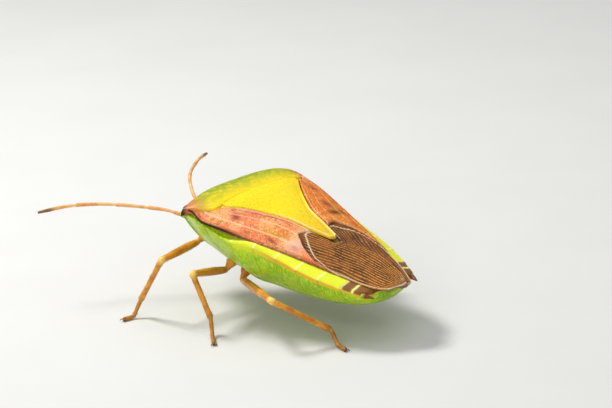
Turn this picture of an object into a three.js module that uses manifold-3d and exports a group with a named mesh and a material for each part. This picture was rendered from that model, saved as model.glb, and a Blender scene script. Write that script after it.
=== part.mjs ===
// A shield bug (edessine stink bug), standing on six legs, life size: 18 mm from head to tail spines.
// Millimetres, +Z up, head towards -Y, its left side towards +X. Before the last lines the origin is on
// the floor below the line that joins the two shoulder points, and Y runs from that line to the tail.
import * as THREE from "three";
import { mergeVertices } from "three/addons/utils/BufferGeometryUtils.js";
import Module from "manifold-3d";

const wasm = await Module();
wasm.setup();
const { lerp, clamp } = THREE.MathUtils;

// Driving dimensions.
const GAP = 0.3; // between pieces that touch
const PLATE = 0.65; // thickness of the back's plates
const PLATE_EDGE = 0.5; // thickness of a plate at its free edge
const SHOULDER = { half: 5.33, y: -0.1, reach: 1.95, spine: 0.75, bend: 1.8 };
const COLLAR = { half: 1.95, y: -2.7, sag: 0.12 };
const THORAX_END = 3.45;
const TAIL = { bodyEnd: 12.75, spineX: 2.05, spineY: 13.2, spineRoot: 2.42 };
const EYE = { x: 1.33, y: -3.42, z: 5.8, r: 0.45 };
const VEIN = 0.1; // height of a vein on the leathery part of the wing
const RIB = 0.08; // half the height of a vein on the membrane

// Stations along the body, each [y, value], with smooth curves between them.
const crownHeight = curveThrough([
  [-2.8, 6.7], [-1.9, 7.35], [-1, 7.93], [0, 8.3], [1, 8.3], [2.5, 7.88],
  [5, 6.98], [8.24, 5.85], [11, 4.85], [14.2, 3.75],
]);
const marginHeight = curveThrough([
  [-2.8, 5.75], [-1.4, 6.85], [-0.1, 7.46], [1.5, 7.02], [5, 5.88], [13.5, 3.15], [14.2, 2.93],
]);
const bellyHeight = curveThrough([
  [-2.6, 4.95], [-1.8, 4.4], [-0.8, 3.7], [0.3, 3], [1.6, 2.45], [3, 2.2], [4.7, 2.03],
  [6.8, 1.78], [9.4, 1.78], [11, 1.95], [12, 2.25], [13, 2.6],
]);
const bodyHalfWidth = curveThrough([
  [-0.1, 5.33], [1, 5.28], [2.7, 5.2], [4.6, 4.95], [6.2, 4.66], [7.8, 4.3], [9, 3.98],
  [10.6, 3.42], [11.7, 2.98], [12.6, 2.55], [14.2, 1.75],
]);
const costalHalfWidth = curveThrough([
  [0.6, 5.02], [1.5, 5.18], [2.56, 4.98], [4.6, 4.42], [6.84, 3.7], [9.4, 2.9], [10.75, 2.48],
  [12.2, 1.98], [13.2, 1.45], [14.05, 0.62],
]);
const scutellumHalfWidth = curveThrough([
  [2.1, 3.3], [3.2, 2.36], [4.6, 1.42], [5.4, 1], [6.6, 0.7], [7.6, 0.42], [8.24, 0.24],
]);
const membraneInnerEdge = curveThrough([
  [8.2, 0.6], [8.6, 0.35], [9.2, -0.5], [9.8, -1.1], [10.8, -1.35], [12, -1.25], [13.2, -0.85],
  [13.95, -0.25],
]);
const SEGMENT_ENDS = [3.75, 5.3, 6.85, 8.4, 9.9, 11.35, TAIL.bodyEnd];

// The cubic Hermite curve through stations, each tangent the slope between its two neighbours.
function curveThrough(stations) {
  const last = stations.length - 1;
  const slope = (i) => {
    const a = stations[Math.max(i - 1, 0)];
    const b = stations[Math.min(i + 1, last)];
    return (b[1] - a[1]) / (b[0] - a[0]);
  };
  return (at) => {
    const y = clamp(at, stations[0][0], stations[last][0]);
    let i = 0;
    while (i < last - 1 && y > stations[i + 1][0]) i += 1;
    const [y0, p0] = stations[i];
    const [y1, p1] = stations[i + 1];
    const h = y1 - y0;
    const t = (y - y0) / h;
    const rise = (1 - t) * (1 - t) * t * h * slope(i) - (1 - t) * t * t * h * slope(i + 1);
    return lerp(p0, p1, t * t * (3 - 2 * t)) + rise;
  };
}

// The rear margin of the pronotum: straight behind the middle, drawn in behind each shoulder spine.
function rearMargin(x) {
  const inward = Math.max(SHOULDER.half - Math.abs(x), 0) / SHOULDER.spine;
  return SHOULDER.y + SHOULDER.reach * (1 - Math.exp(-(inward ** SHOULDER.bend)));
}

// Half width of the whole back: the pronotum's side margin in front of the shoulders, the body behind.
function backHalfWidth(y) {
  if (y >= SHOULDER.y) return bodyHalfWidth(y);
  const share = clamp((y - COLLAR.y) / (SHOULDER.y - COLLAR.y), 0, 1);
  return lerp(COLLAR.half, SHOULDER.half, share ** 1.15);
}

// Height of the back: a crown over the margin, flatter across the shoulders than over the wings.
function backHeight(x, y) {
  const power = lerp(3.6, 2.3, clamp((y - 1) / 4, 0, 1));
  const across = clamp(Math.abs(x) / backHalfWidth(y), 0, 1);
  return lerp(crownHeight(y), marginHeight(y), across ** power);
}

// Height of the underside of the back's plates, which thin out to the side, and of the body below them.
function plateUnderside(x, y) {
  const across = clamp(Math.abs(x) / backHalfWidth(y), 0, 1);
  return backHeight(x, y) - lerp(PLATE, PLATE_EDGE, across ** 6);
}

const coreHeight = (x, y) => plateUnderside(x, y) - GAP - 0.03;

// A geometry from points and triangles.
function surface(points, faces) {
  const geometry = new THREE.BufferGeometry();
  geometry.setAttribute("position", new THREE.Float32BufferAttribute(points.flat(), 3));
  geometry.setIndex(faces);
  return geometry;
}

// A closed plate over a grid: plan(u, v) gives x and y, and two more functions give its two heights.
function plate(across, along, plan, upper, under) {
  const points = [];
  const faces = [];
  const row = across + 1;
  const half = row * (along + 1);
  for (const height of [upper, under])
    for (let j = 0; j <= along; j += 1)
      for (let i = 0; i <= across; i += 1) {
        const u = i / across;
        const v = j / along;
        const [x, y] = plan(u, v);
        points.push([x, y, height(x, y, u, v)]);
      }
  const quad = (a, b, c, d) => faces.push(a, b, c, a, c, d);
  for (let j = 0; j < along; j += 1)
    for (let i = 0; i < across; i += 1) {
      const a = j * row + i;
      quad(a, a + 1, a + row + 1, a + row);
      quad(half + a, half + a + row, half + a + row + 1, half + a + 1);
    }
  for (let i = 0; i < across; i += 1) {
    const far = along * row + i;
    quad(i, half + i, half + i + 1, i + 1);
    quad(far + 1, half + far + 1, half + far, far);
  }
  for (let j = 0; j < along; j += 1) {
    const near = j * row;
    const side = near + across;
    quad(near + row, half + near + row, half + near, near);
    quad(side, half + side, half + side + row, side + row);
  }
  return surface(points, faces);
}

// A closed skin over rings of an even number of points, each end closed by a strip between the ring's
// first half and its second.
function skin(rings) {
  const count = rings[0].length;
  const points = rings.flat();
  const faces = [];
  for (let i = 0; i + 1 < rings.length; i += 1)
    for (let j = 0; j < count; j += 1) {
      const a = i * count + j;
      const b = i * count + ((j + 1) % count);
      faces.push(a, b, b + count, a, b + count, a + count);
    }
  const last = (rings.length - 1) * count;
  for (let j = 0; j < count / 2 - 1; j += 1) {
    const k = count - 1 - j;
    faces.push(j, k, k - 1, j, k - 1, j + 1);
    faces.push(last + j, last + k - 1, last + k, last + j, last + j + 1, last + k - 1);
  }
  return surface(points, faces);
}

// manifold-3d solid of a closed geometry, turned to face out.
function solidOf(geometry) {
  const bare = geometry.clone();
  bare.deleteAttribute("normal");
  bare.deleteAttribute("uv");
  const merged = mergeVertices(bare, 1e-4);
  const triVerts = new Uint32Array(merged.index.array);
  const vertProperties = merged.attributes.position.array;
  const made = new wasm.Manifold(new wasm.Mesh({ numProp: 3, vertProperties, triVerts }));
  if (made.volume() >= 0) return made;
  return new wasm.Manifold(new wasm.Mesh({ numProp: 3, vertProperties, triVerts: triVerts.reverse() }));
}

// The largest closed piece of a solid, as a geometry.
function geometryOf(solid) {
  const pieces = solid.decompose().sort((a, b) => b.volume() - a.volume());
  const mesh = pieces[0].getMesh();
  const geometry = new THREE.BufferGeometry();
  geometry.setAttribute("position", new THREE.BufferAttribute(mesh.vertProperties, 3));
  geometry.setIndex(new THREE.BufferAttribute(mesh.triVerts, 1));
  geometry.computeVertexNormals();
  return geometry;
}

// A closed tube along part of a path, from one arc length to another, its radius given along it.
function limb(path, from, to, steps, sides, radius) {
  const whole = path.getLength();
  const rings = [];
  const first = path.getTangentAt(0);
  const normal = Math.abs(first.y) < 0.7 ? new THREE.Vector3(0, 1, 0) : new THREE.Vector3(0, 0, 1);
  for (let i = 0; i <= steps; i += 1) {
    const reach = lerp(from, to, i / steps);
    const share = clamp(reach / whole, 0, 1);
    const centre = path.getPointAt(share);
    const tangent = path.getTangentAt(share);
    normal.addScaledVector(tangent, -normal.dot(tangent)).normalize();
    const side = new THREE.Vector3().crossVectors(tangent, normal);
    const r = radius(reach);
    const ring = [];
    for (let j = 0; j < sides; j += 1) {
      const angle = (2 * Math.PI * j) / sides;
      const p = centre.clone();
      p.addScaledVector(normal, r * Math.cos(angle)).addScaledVector(side, r * Math.sin(angle));
      ring.push(p.toArray());
    }
    rings.push(ring);
  }
  return solidOf(skin(rings));
}

// A path of straight stretches with rounded corners.
function bentPath(corners, round) {
  const points = corners.map((p) => new THREE.Vector3(...p));
  const path = new THREE.CurvePath();
  let start = points[0];
  for (let i = 1; i + 1 < points.length; i += 1) {
    const before = points[i].clone().lerp(points[i - 1], round / points[i].distanceTo(points[i - 1]));
    const after = points[i].clone().lerp(points[i + 1], round / points[i].distanceTo(points[i + 1]));
    path.add(new THREE.LineCurve3(start, before));
    path.add(new THREE.QuadraticBezierCurve3(before, points[i], after));
    start = after;
  }
  path.add(new THREE.LineCurve3(start, points[points.length - 1]));
  return path;
}

const MATERIALS = {
  green: new THREE.MeshStandardMaterial({ color: 0x9cc21a, roughness: 0.38 }),
  shield: new THREE.MeshStandardMaterial({ color: 0xd8c40c, roughness: 0.32 }),
  corium: new THREE.MeshStandardMaterial({ color: 0xc9764e, roughness: 0.3 }),
  leg: new THREE.MeshStandardMaterial({ color: 0xc98a3a, roughness: 0.4 }),
  feeler: new THREE.MeshStandardMaterial({ color: 0xe0a766, roughness: 0.45 }),
  eye: new THREE.MeshStandardMaterial({ color: 0x3a1510, roughness: 0.15 }),
};
const bug = new THREE.Group();

// Adds a solid, or a closed geometry, to the bug as one named mesh.
function add(name, shape, material) {
  const solid = shape.isBufferGeometry ? solidOf(shape) : shape;
  const mesh = new THREE.Mesh(geometryOf(solid), material);
  mesh.name = name;
  bug.add(mesh);
}

// The pronotum: a cap from the collar behind the head to the rear margin, with a spine at each shoulder.
function pronotum() {
  const plan = (s, v) => {
    const u = Math.sin(((2 * s - 1) * Math.PI) / 2);
    const rear = rearMargin(SHOULDER.half * u);
    const front = COLLAR.y - COLLAR.sag * u * u;
    return [u * lerp(COLLAR.half, SHOULDER.half, v ** 1.15), lerp(front, rear, v)];
  };
  return plate(26, 12, plan, backHeight, plateUnderside);
}

// The scutellum: the triangular shield between the wings, drawn out to a narrow tip.
function scutellum() {
  const tip = 8.24;
  const plan = (s, v) => {
    const u = 2 * s - 1;
    const y = lerp(rearMargin(0) + GAP, tip, v);
    const half = scutellumHalfWidth(y);
    const base = rearMargin(half * u) - rearMargin(0);
    return [half * u, y + base * (1 - v) ** 3];
  };
  const swell = 0.12; // stands a little above the wings along the middle
  const upper = (x, y, s, v) => backHeight(x, y) + swell * Math.sin(Math.PI * s) * (1 - v);
  return plate(12, 16, plan, upper, plateUnderside);
}

// Where the leathery corium ends and the membrane begins, as y over x.
const membraneStart = (x) => 6.55 + 0.2 * x + 3.8 * (Math.abs(x) / 2.85) ** 8;

// A forewing folded over the back. The left one lies on top, so its membrane reaches over the middle, and
// the right one's shows only beside it. Ridges run along the columns of the grid: the veins.
function forewing(side) {
  const across = 16;
  const along = 25;
  const innerX = (y) => {
    const atShield = scutellumHalfWidth(y) + GAP * 1.4;
    if (side > 0) return y < 8.2 ? atShield : membraneInnerEdge(y);
    const besideLeft = -membraneInnerEdge(y) + GAP * 1.5;
    return y < 8.2 ? atShield : Math.max(besideLeft, 0.6);
  };
  const rear = side > 0 ? 13.9 : 13.1;
  const rearOuter = side > 0 ? 14.02 : 13.35;
  const plan = (u, v) => {
    const base = rearMargin(lerp(innerX(2), costalHalfWidth(0), u)) + GAP * (1 + 0.7 * u ** 4);
    const y = lerp(base, lerp(rear, rearOuter, u), v);
    return [side * lerp(innerX(y), costalHalfWidth(y), u), y];
  };
  const ridge = (x, y, u) => {
    const column = Math.round(u * across);
    if (y > membraneStart(side * x)) return column % 2 ? -RIB : RIB;
    return [2, 9, 14].includes(column) ? VEIN : 0;
  };
  const upper = (x, y, u) => backHeight(x, y) + ridge(x, y, u);
  return plate(across, along, plan, upper, plateUnderside);
}

const thoraxHalfWidth = (y) => Math.min(backHalfWidth(y) - 0.28, 4.92);

// Height of the underside of the thorax: a rounded keel from side to side.
function breastHeight(x, y) {
  const half = thoraxHalfWidth(y);
  const side = coreHeight(half, y) - 0.15;
  const across = Math.min(Math.abs(x) / half, 1);
  return side - (side - bellyHeight(y)) * (1 - across ** 1.8) ** 0.9;
}

// One ring round the thorax at y: plates' underside above, pleura and breast below.
function thoraxRing(y) {
  const half = thoraxHalfWidth(y);
  const ring = [];
  for (let i = 0; i <= 14; i += 1) {
    const x = half * Math.cos((Math.PI * i) / 14);
    ring.push([x, y, breastHeight(x, y)]);
  }
  for (let i = 0; i <= 14; i += 1) {
    const x = lerp(-half, half, i / 14);
    ring.push([x, y, coreHeight(x, y) - 0.1]);
  }
  return ring;
}

// The thorax below the plates, from the neck to the abdomen.
function thorax() {
  const stations = [-2.55, -2.1, -1.5, -0.9, -0.3, 0.4, 1.1, 1.8, 2.5, 3, THORAX_END];
  return skin(stations.map(thoraxRing));
}

// One ring round the abdomen: belly, raised side rim (connexivum), and the bed the wings lie in.
function abdomenRing(y, drawIn) {
  const half = bodyHalfWidth(y) - drawIn;
  const inner = Math.min(costalHalfWidth(y) + GAP, half - 0.13);
  const lift = clamp((half - inner - 0.15) / 0.3, 0, 1);
  const edge = coreHeight(half, y) - 0.05;
  const side = lerp(edge - 0.1, marginHeight(y) - 0.12, lift);
  const depth = side - bellyHeight(y) - drawIn;
  const ring = [];
  for (let i = 0; i <= 14; i += 1) {
    const across = Math.cos((Math.PI * i) / 14);
    ring.push([half * across, y, side - depth * (1 - Math.abs(across) ** 1.9) ** 0.6]);
  }
  const rim = (x, height) => [x, y, lerp(edge, marginHeight(y) + height, lift)];
  ring.push(rim(-(half - 0.06), 0.08), rim(-inner, 0.14));
  for (let i = 0; i <= 10; i += 1) {
    const x = lerp(-(inner - 0.05), inner - 0.05, i / 10);
    ring.push([x, y, coreHeight(x, y) - 0.05]);
  }
  ring.push(rim(inner, 0.14), rim(half - 0.06, 0.08));
  return ring;
}

// The abdomen with its ring segments, the two spines of the last one and the rounded tail plate.
function abdomen() {
  const rings = [];
  SEGMENT_ENDS.slice(0, -1).forEach((start, i) => {
    const end = SEGMENT_ENDS[i + 1];
    rings.push(abdomenRing(start, 0.07), abdomenRing(lerp(start, end, 0.2), 0), abdomenRing(lerp(start, end, 0.75), 0));
  });
  rings.push(abdomenRing(TAIL.bodyEnd, 0.4));
  let whole = solidOf(skin(rings));
  for (const side of [1, -1]) {
    const root = [side * TAIL.spineRoot, 12, marginHeight(12) - 0.42];
    const tip = [side * TAIL.spineX, TAIL.spineY, marginHeight(TAIL.spineY)];
    const path = new THREE.LineCurve3(new THREE.Vector3(...root), new THREE.Vector3(...tip));
    const long = path.getLength();
    whole = whole.add(limb(path, 0, long, 6, 8, (s) => lerp(0.36, 0.1, (s / long) ** 1.3)));
  }
  const lobe = new THREE.SphereGeometry(1, 16, 10);
  lobe.scale(1.05, 0.95, 0.42);
  lobe.rotateX(-0.3);
  lobe.translate(0, 12.55, 2.86);
  return whole.add(solidOf(lobe));
}

// The head: a short blunt wedge, with a socket at each side for the eye.
function head() {
  const half = curveThrough([[-4.95, 0.42], [-4.75, 0.78], [-4.3, 1.12], [-3.7, 1.45], [-3.05, 1.62]]);
  const top = curveThrough([[-4.95, 5.4], [-4.3, 5.85], [-3.7, 6.18], [-3.05, 6.42]]);
  const foot = curveThrough([[-4.95, 5.05], [-4.5, 4.92], [-3.7, 4.86], [-3.05, 4.92]]);
  const rings = [];
  for (const y of [-4.95, -4.85, -4.65, -4.4, -4.1, -3.8, -3.5, -3.25, -3.05]) {
    const middle = (top(y) + foot(y)) / 2;
    const ring = [];
    for (let j = 0; j < 18; j += 1) {
      const angle = (2 * Math.PI * j) / 18;
      ring.push([half(y) * Math.cos(angle), y, middle - ((top(y) - foot(y)) / 2) * Math.sin(angle)]);
    }
    rings.push(ring);
  }
  let whole = solidOf(skin(rings));
  for (const side of [1, -1]) {
    const socket = new THREE.SphereGeometry(EYE.r + GAP, 16, 12);
    socket.translate(side * EYE.x, EYE.y, EYE.z);
    whole = whole.subtract(solidOf(socket));
  }
  return whole;
}

function eye(side) {
  const ball = new THREE.SphereGeometry(EYE.r, 14, 10);
  ball.translate(side * EYE.x, EYE.y, EYE.z);
  return ball;
}

// A feeler of five segments, each a little swollen before its joint.
function feeler(points) {
  const path = new THREE.CatmullRomCurve3(points.map((p) => new THREE.Vector3(...p)), false, "centripetal");
  const long = path.getLength();
  const joints = [0, 0.09, 0.27, 0.5, 0.76, 1];
  const radius = (s) => {
    const share = s / long;
    const i = Math.max(joints.findIndex((j) => j > share) - 1, 0);
    const within = clamp((share - joints[i]) / (joints[i + 1] - joints[i]), 0, 1);
    const taper = share > 0.9 ? lerp(1, 0.45, (share - 0.9) / 0.1) : 1;
    return 0.255 * taper * (1 + 0.12 * Math.sin(Math.PI * within ** 1.5));
  };
  return limb(path, 0, long, 26, 8, radius);
}

// The beak folded back under the head.
function beak() {
  const path = bentPath([[0, -4.7, 4.42], [0, -4.1, 4.25], [0, -2.7, 4.2], [0, -1.3, 3.4], [0, -0.2, 2.65]], 0.3);
  return limb(path, 0, path.getLength(), 12, 8, () => 0.25);
}

// Where a leg grows from the thorax: a point of its underside and the way out of it.
function legRoot(x, y) {
  const step = 0.05;
  const slopeX = (breastHeight(x + step, y) - breastHeight(x - step, y)) / (2 * step);
  const slopeY = (breastHeight(x, y + step) - breastHeight(x, y - step)) / (2 * step);
  const out = new THREE.Vector3(slopeX, slopeY, -1).normalize();
  return { point: new THREE.Vector3(x, y, breastHeight(x, y)), out };
}

// Legs: root on the thorax, then knee, ankle and claw end.
const LEGS = {
  left_front: { root: [2.2, -1.15], knee: [6.25, -1.2, 4.2], ankle: [6.3, -3.28, 1.12], toe: [7.75, -3.55] },
  left_middle: { root: [2.3, 1.2], knee: [6.75, 2.05, 4.05], ankle: [6.1, 2.8, 1.05], toe: [7.75, 4.6] },
  left_hind: { root: [2.2, 2.38], knee: [6.1, 8.2, 3.25], ankle: [3.2, 10.5, 0.95], toe: [3.75, 12.2] },
  right_front: { root: [-2.2, -1.15], knee: [-5.9, -1.9, 4.5], ankle: [-6.3, -4.1, 1.1], toe: [-7.5, -5.35] },
  right_middle: { root: [-2.3, 1.2], knee: [-6.4, 1.2, 4.3], ankle: [-6.7, 2.6, 1.05], toe: [-7.9, 4.0] },
  right_hind: { root: [-2.2, 2.38], knee: [-5.9, 5.6, 3.9], ankle: [-5.3, 6.6, 1.0], toe: [-6.6, 7.0] },
};
const FOOT_LEVEL = 0.18; // height of the foot's middle above the floor
const HIP = 0.35; // length of the hip piece
const ROUND = 0.24; // rounding of the leg's bends

// One leg: thigh with the hip, shank, and foot, cut apart after the knee's bend and before the ankle's.
function leg(name, { root, knee, ankle, toe }) {
  const { point, out } = legRoot(...root);
  const hip = point.clone().addScaledVector(out, GAP);
  const hinge = hip.clone().addScaledVector(out, HIP);
  const heel = [lerp(ankle[0], toe[0], 0.42), lerp(ankle[1], toe[1], 0.42), FOOT_LEVEL];
  const path = bentPath([hip.toArray(), hinge.toArray(), knee, ankle, heel, [...toe, FOOT_LEVEL]], ROUND);
  const ends = path.getCurveLengths();
  const kneeEnd = ends[3] + 0.1;
  const ankleStart = ends[4] - 0.05 - GAP;
  const whole = path.getLength();
  const thighRadius = (s) => {
    const share = clamp((s - HIP) / (kneeEnd - HIP), 0, 1);
    return s < HIP ? lerp(0.42, 0.3, s / HIP) : 0.27 + 0.07 * Math.sin(Math.PI * share ** 0.8);
  };
  const shankRadius = (s) => lerp(0.25, 0.28, (s - kneeEnd) / (ankleStart - kneeEnd));
  const footRadius = (s) => {
    const share = (s - ankleStart) / (whole - ankleStart);
    return share > 0.85 ? lerp(0.25, 0.14, (share - 0.85) / 0.15) : 0.26;
  };
  add(`leg_${name}_femur`, limb(path, 0, kneeEnd, 14, 8, thighRadius), MATERIALS.leg);
  add(`leg_${name}_tibia`, limb(path, kneeEnd + GAP, ankleStart, 8, 8, shankRadius), MATERIALS.leg);
  const foot = limb(path, ankleStart + GAP, whole, 14, 8, footRadius);
  const below = new THREE.BoxGeometry(40, 40, 4);
  below.translate(0, 0, -2);
  add(`leg_${name}_tarsus`, foot.subtract(solidOf(below)), MATERIALS.leg);
}

add("head", head(), MATERIALS.green);
add("eye_left", eye(1), MATERIALS.eye);
add("eye_right", eye(-1), MATERIALS.eye);
add(
  "antenna_left",
  feeler([[1.18, -4.8, 5.42], [1.45, -5.25, 5.6], [3.75, -8.1, 6.1], [5.7, -9.9, 6.2], [7.7, -11, 6.05]]),
  MATERIALS.feeler,
);
add(
  "antenna_right",
  feeler([[-1.18, -4.85, 5.42], [-1.3, -5.5, 5.85], [-3.4, -7.85, 6.28], [-6.3, -9.9, 6.3], [-8.4, -11.1, 6.05]]),
  MATERIALS.feeler,
);
add("beak", beak(), MATERIALS.leg);
add("pronotum", pronotum(), MATERIALS.shield);
add("scutellum", scutellum(), MATERIALS.shield);
add("forewing_left", forewing(1), MATERIALS.corium);
add("forewing_right", forewing(-1), MATERIALS.corium);
add("thorax", thorax(), MATERIALS.green);
add("abdomen", abdomen(), MATERIALS.green);
for (const [name, joints] of Object.entries(LEGS)) leg(name, joints);

// The part's origin is on the floor, at the middle of its outline seen from above.
const box = new THREE.Box3().setFromObject(bug);
bug.position.set(-(box.min.x + box.max.x) / 2, -(box.min.y + box.max.y) / 2, -box.min.z);
const part = new THREE.Group();
part.add(bug);
export default part;
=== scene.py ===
"""Dresses a shield bug, life size, on a pale studio floor.

Lengths are in millimetres until a mesh is written. The body's own frame has its origin on the floor under the
shoulder points, Y towards the tail, and the insect's left side at +X.
"""

from __future__ import annotations

import logging
from dataclasses import dataclass
from enum import Enum
from typing import Callable, Mapping, Optional, Sequence, Union

import bmesh
import bpy
import numpy as np
from mathutils import Matrix, Vector


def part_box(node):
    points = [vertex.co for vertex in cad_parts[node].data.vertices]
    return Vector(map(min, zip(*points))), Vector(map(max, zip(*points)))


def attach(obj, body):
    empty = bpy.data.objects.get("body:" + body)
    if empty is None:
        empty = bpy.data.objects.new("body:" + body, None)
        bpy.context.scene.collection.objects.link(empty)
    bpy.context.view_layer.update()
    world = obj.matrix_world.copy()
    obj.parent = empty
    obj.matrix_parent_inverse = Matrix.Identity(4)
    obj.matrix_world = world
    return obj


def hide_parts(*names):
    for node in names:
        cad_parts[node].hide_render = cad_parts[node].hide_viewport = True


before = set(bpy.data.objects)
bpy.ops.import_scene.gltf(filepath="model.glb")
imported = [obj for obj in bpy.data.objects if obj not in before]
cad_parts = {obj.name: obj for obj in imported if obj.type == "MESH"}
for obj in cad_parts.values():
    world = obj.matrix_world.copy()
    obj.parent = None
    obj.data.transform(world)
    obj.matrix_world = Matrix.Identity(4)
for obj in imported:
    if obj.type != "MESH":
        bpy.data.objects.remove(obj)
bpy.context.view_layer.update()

LOG = logging.getLogger("shield_bug")
MM = 0.001
RING_MERGE = 2e-4  # distance in millimetres below which points of rings are joined
PLATE_MERGE = 1e-4  # the same for plates, whose points crowd along the outline

Array = np.ndarray
Piece = bpy.types.Object
Tree = bpy.types.NodeTree
Socket = bpy.types.NodeSocket
Point = tuple[float, float, float]
Span = tuple[float, float]  # where a smooth step starts and where it ends
Bell = tuple[float, float]  # the middle and the width of a bell


class Side(Enum):
    """The insect's two sides, by the sign of X."""

    LEFT = 1
    RIGHT = -1

    @property
    def label(self) -> str:
        """The side's word in the names of pieces."""
        return self.name.lower()


def stations(*pairs: tuple[float, float]) -> Callable[[Array], Array]:
    """A smooth curve through stations: the cubic Hermite whose tangent at a station is its neighbours' slope.

    Args:
        pairs: position and value of each station, in order.

    Returns:
        The function from positions to values, constant beyond the ends.
    """
    at, value = np.array(pairs, float).T
    slope = np.empty_like(value)
    slope[1:-1] = (value[2:] - value[:-2]) / (at[2:] - at[:-2])
    slope[0] = (value[1] - value[0]) / (at[1] - at[0])
    slope[-1] = (value[-1] - value[-2]) / (at[-1] - at[-2])

    def curve(y: Array) -> Array:
        """Blends the values and slopes of the two stations around each position.

        Args:
            y: positions.

        Returns:
            The curve's values there.
        """
        y = np.clip(y, at[0], at[-1])
        i = np.clip(np.searchsorted(at, y, side="right") - 1, 0, len(at) - 2)
        h = at[i + 1] - at[i]
        t = (y - at[i]) / h
        rise = (1 - t) ** 2 * t * h * slope[i] - (1 - t) * t**2 * h * slope[i + 1]
        return value[i] + (value[i + 1] - value[i]) * t * t * (3 - 2 * t) + rise

    return curve


def mix(a: Array, b: Array, share: Array) -> Array:
    """Straight blend: a at share 0, b at share 1."""
    return a + (b - a) * share


def smooth(low: float, high: float, x: Array) -> Array:
    """Smooth step: 0 at low and before, 1 at high and beyond, 3t^2 - 2t^3 between."""
    t = np.clip((x - low) / (high - low), 0, 1)
    return t * t * (3 - 2 * t)


def bump(x: Array, middle: float, width: float) -> Array:
    """A bell: exp of minus the square of the distance from the middle over the width."""
    return np.exp(-(((x - middle) / width) ** 2))


def surface(x: Array, y: Array, z: Array) -> Array:
    """Points of a grid from three coordinates, each of them a row, a column or a grid."""
    return np.stack(np.broadcast_arrays(x, y, z), -1)


@dataclass(frozen=True)
class Patch:
    """An oval patch that fades out all round: a bell across the body times a bell along it."""

    x: float
    y: float
    wide: float
    long: float
    share: float = 1.0

    def at(self, x: Array, y: Array) -> Array:
        """Strength of the patch at x and y."""
        return self.share * bump(x, self.x, self.wide) * bump(y, self.y, self.long)


# Heights and half widths of the body, each as stations of y and millimetres.
crown_height = stations(
    (-2.8, 6.7), (-1.9, 7.35), (-1, 7.93), (0, 8.3), (1, 8.3), (2.5, 7.88),
    (5, 6.98), (8.24, 5.85), (11, 4.85), (14.2, 3.75),
)
margin_height = stations(
    (-2.8, 5.75), (-1.4, 6.85), (-0.1, 7.46), (1.5, 7.02), (5, 5.88), (13.5, 3.15), (14.2, 2.93),
)
belly_height = stations(
    (-2.6, 4.95), (-1.8, 4.4), (-0.8, 3.7), (0.3, 3), (1.6, 2.45), (3, 2.2), (4.7, 2.03),
    (6.8, 1.78), (9.4, 1.78), (11, 1.95), (12, 2.25), (13, 2.6),
)
body_half = stations(
    (-0.1, 5.33), (1, 5.28), (2.7, 5.2), (4.6, 4.95), (6.2, 4.66), (7.8, 4.3), (9, 3.98),
    (10.6, 3.42), (11.7, 2.98), (12.6, 2.55), (14.2, 1.75),
)
costal_half = stations(
    (0.6, 5.02), (1.5, 5.18), (2.56, 4.98), (4.6, 4.42), (6.84, 3.7), (9.4, 2.9), (10.75, 2.48),
    (12.2, 1.98), (13.2, 1.45), (14.05, 0.62),
)
shield_half = stations(
    (2.1, 3.3), (3.2, 2.36), (4.6, 1.42), (5.4, 1), (6.6, 0.7), (7.6, 0.42), (8.24, 0.24),
)
head_half = stations(
    (-4.95, 0.34), (-4.8, 0.68), (-4.3, 1.08), (-3.7, 1.36), (-3.05, 1.58), (-2.4, 1.72),
)
head_top = stations((-4.95, 5.38), (-4.3, 5.86), (-3.7, 6.18), (-3.05, 6.42), (-2.4, 6.5))
head_foot = stations((-4.95, 5.08), (-4.5, 4.94), (-3.7, 4.88), (-3.05, 4.92), (-2.4, 5.0))
# Lines on a wing, as x over y: the free edge of its membrane, the furrow of its clavus, and the lane that its
# veins fan out from. The suture between corium and membrane is y over the share across the wing.
overlap_edge = stations(
    (8.2, 0.6), (8.6, 0.35), (9.2, -0.5), (9.8, -1.1), (10.8, -1.35), (12, -1.25), (13.2, -0.85),
    (13.95, -0.25),
)
claval_furrow = stations((1.8, 3.5), (2.92, 3.05), (3.98, 2.33), (5.04, 1.62), (6.31, 1.16), (7, 1.05))
vein_lane = stations((6.3, 0.3), (8.0, 0.0), (9.4, -0.8), (11, -1.35), (13, -1.05), (14, -0.4))
suture = stations(
    (0, 6.95), (0.14, 6.72), (0.28, 6.66), (0.45, 7.15), (0.63, 7.7), (0.81, 8.5), (0.95, 9.5), (1, 10.4),
)

SHOULDER = 5.33  # half width at the shoulder spines
SHOULDER_Y = -0.1  # where the spines lie along the body
COLLAR = 1.95  # half width at the pronotum's front edge
FRONT = -2.7  # where that edge lies along the body
WIDENING = 1.15  # the power by which the body widens from the collar to the shoulders
REAR_REACH = 1.95  # how far the pronotum's rear edge lies behind the shoulders
SHIELD_TIP = 8.24  # where the scutellum ends
SEGMENTS = (3.75, 5.3, 6.85, 8.4, 9.9, 11.35)  # where the abdomen's segments meet


def rear_margin(x: Array) -> Array:
    """Rear edge of the pronotum: level behind the shoulders, drawn in exponentially beside the spines."""
    inward = np.maximum(SHOULDER - np.abs(x), 0) / 0.75
    return SHOULDER_Y + REAR_REACH * (1 - np.exp(-(inward**1.8)))


def back_half(y: Array) -> Array:
    """Half width of the back: a power curve from the collar to the shoulders, and the body's behind them."""
    share = np.clip((y - FRONT) / (SHOULDER_Y - FRONT), 0, 1)
    return np.where(y >= SHOULDER_Y, body_half(y), mix(COLLAR, SHOULDER, share**WIDENING))


def back_height(x: Array, y: Array) -> Array:
    """Height of the back: from the crown down to the margin as a power of the share of the half width.

    Args:
        x: distances from the middle plane, of either sign.
        y: places along the body.

    Returns:
        Heights above the floor.
    """
    power = mix(3.6, 2.3, np.clip((y - 1) / 4, 0, 1))
    across = np.clip(np.abs(x) / back_half(y), 0, 1)
    return mix(crown_height(y), margin_height(y), across**power)


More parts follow.
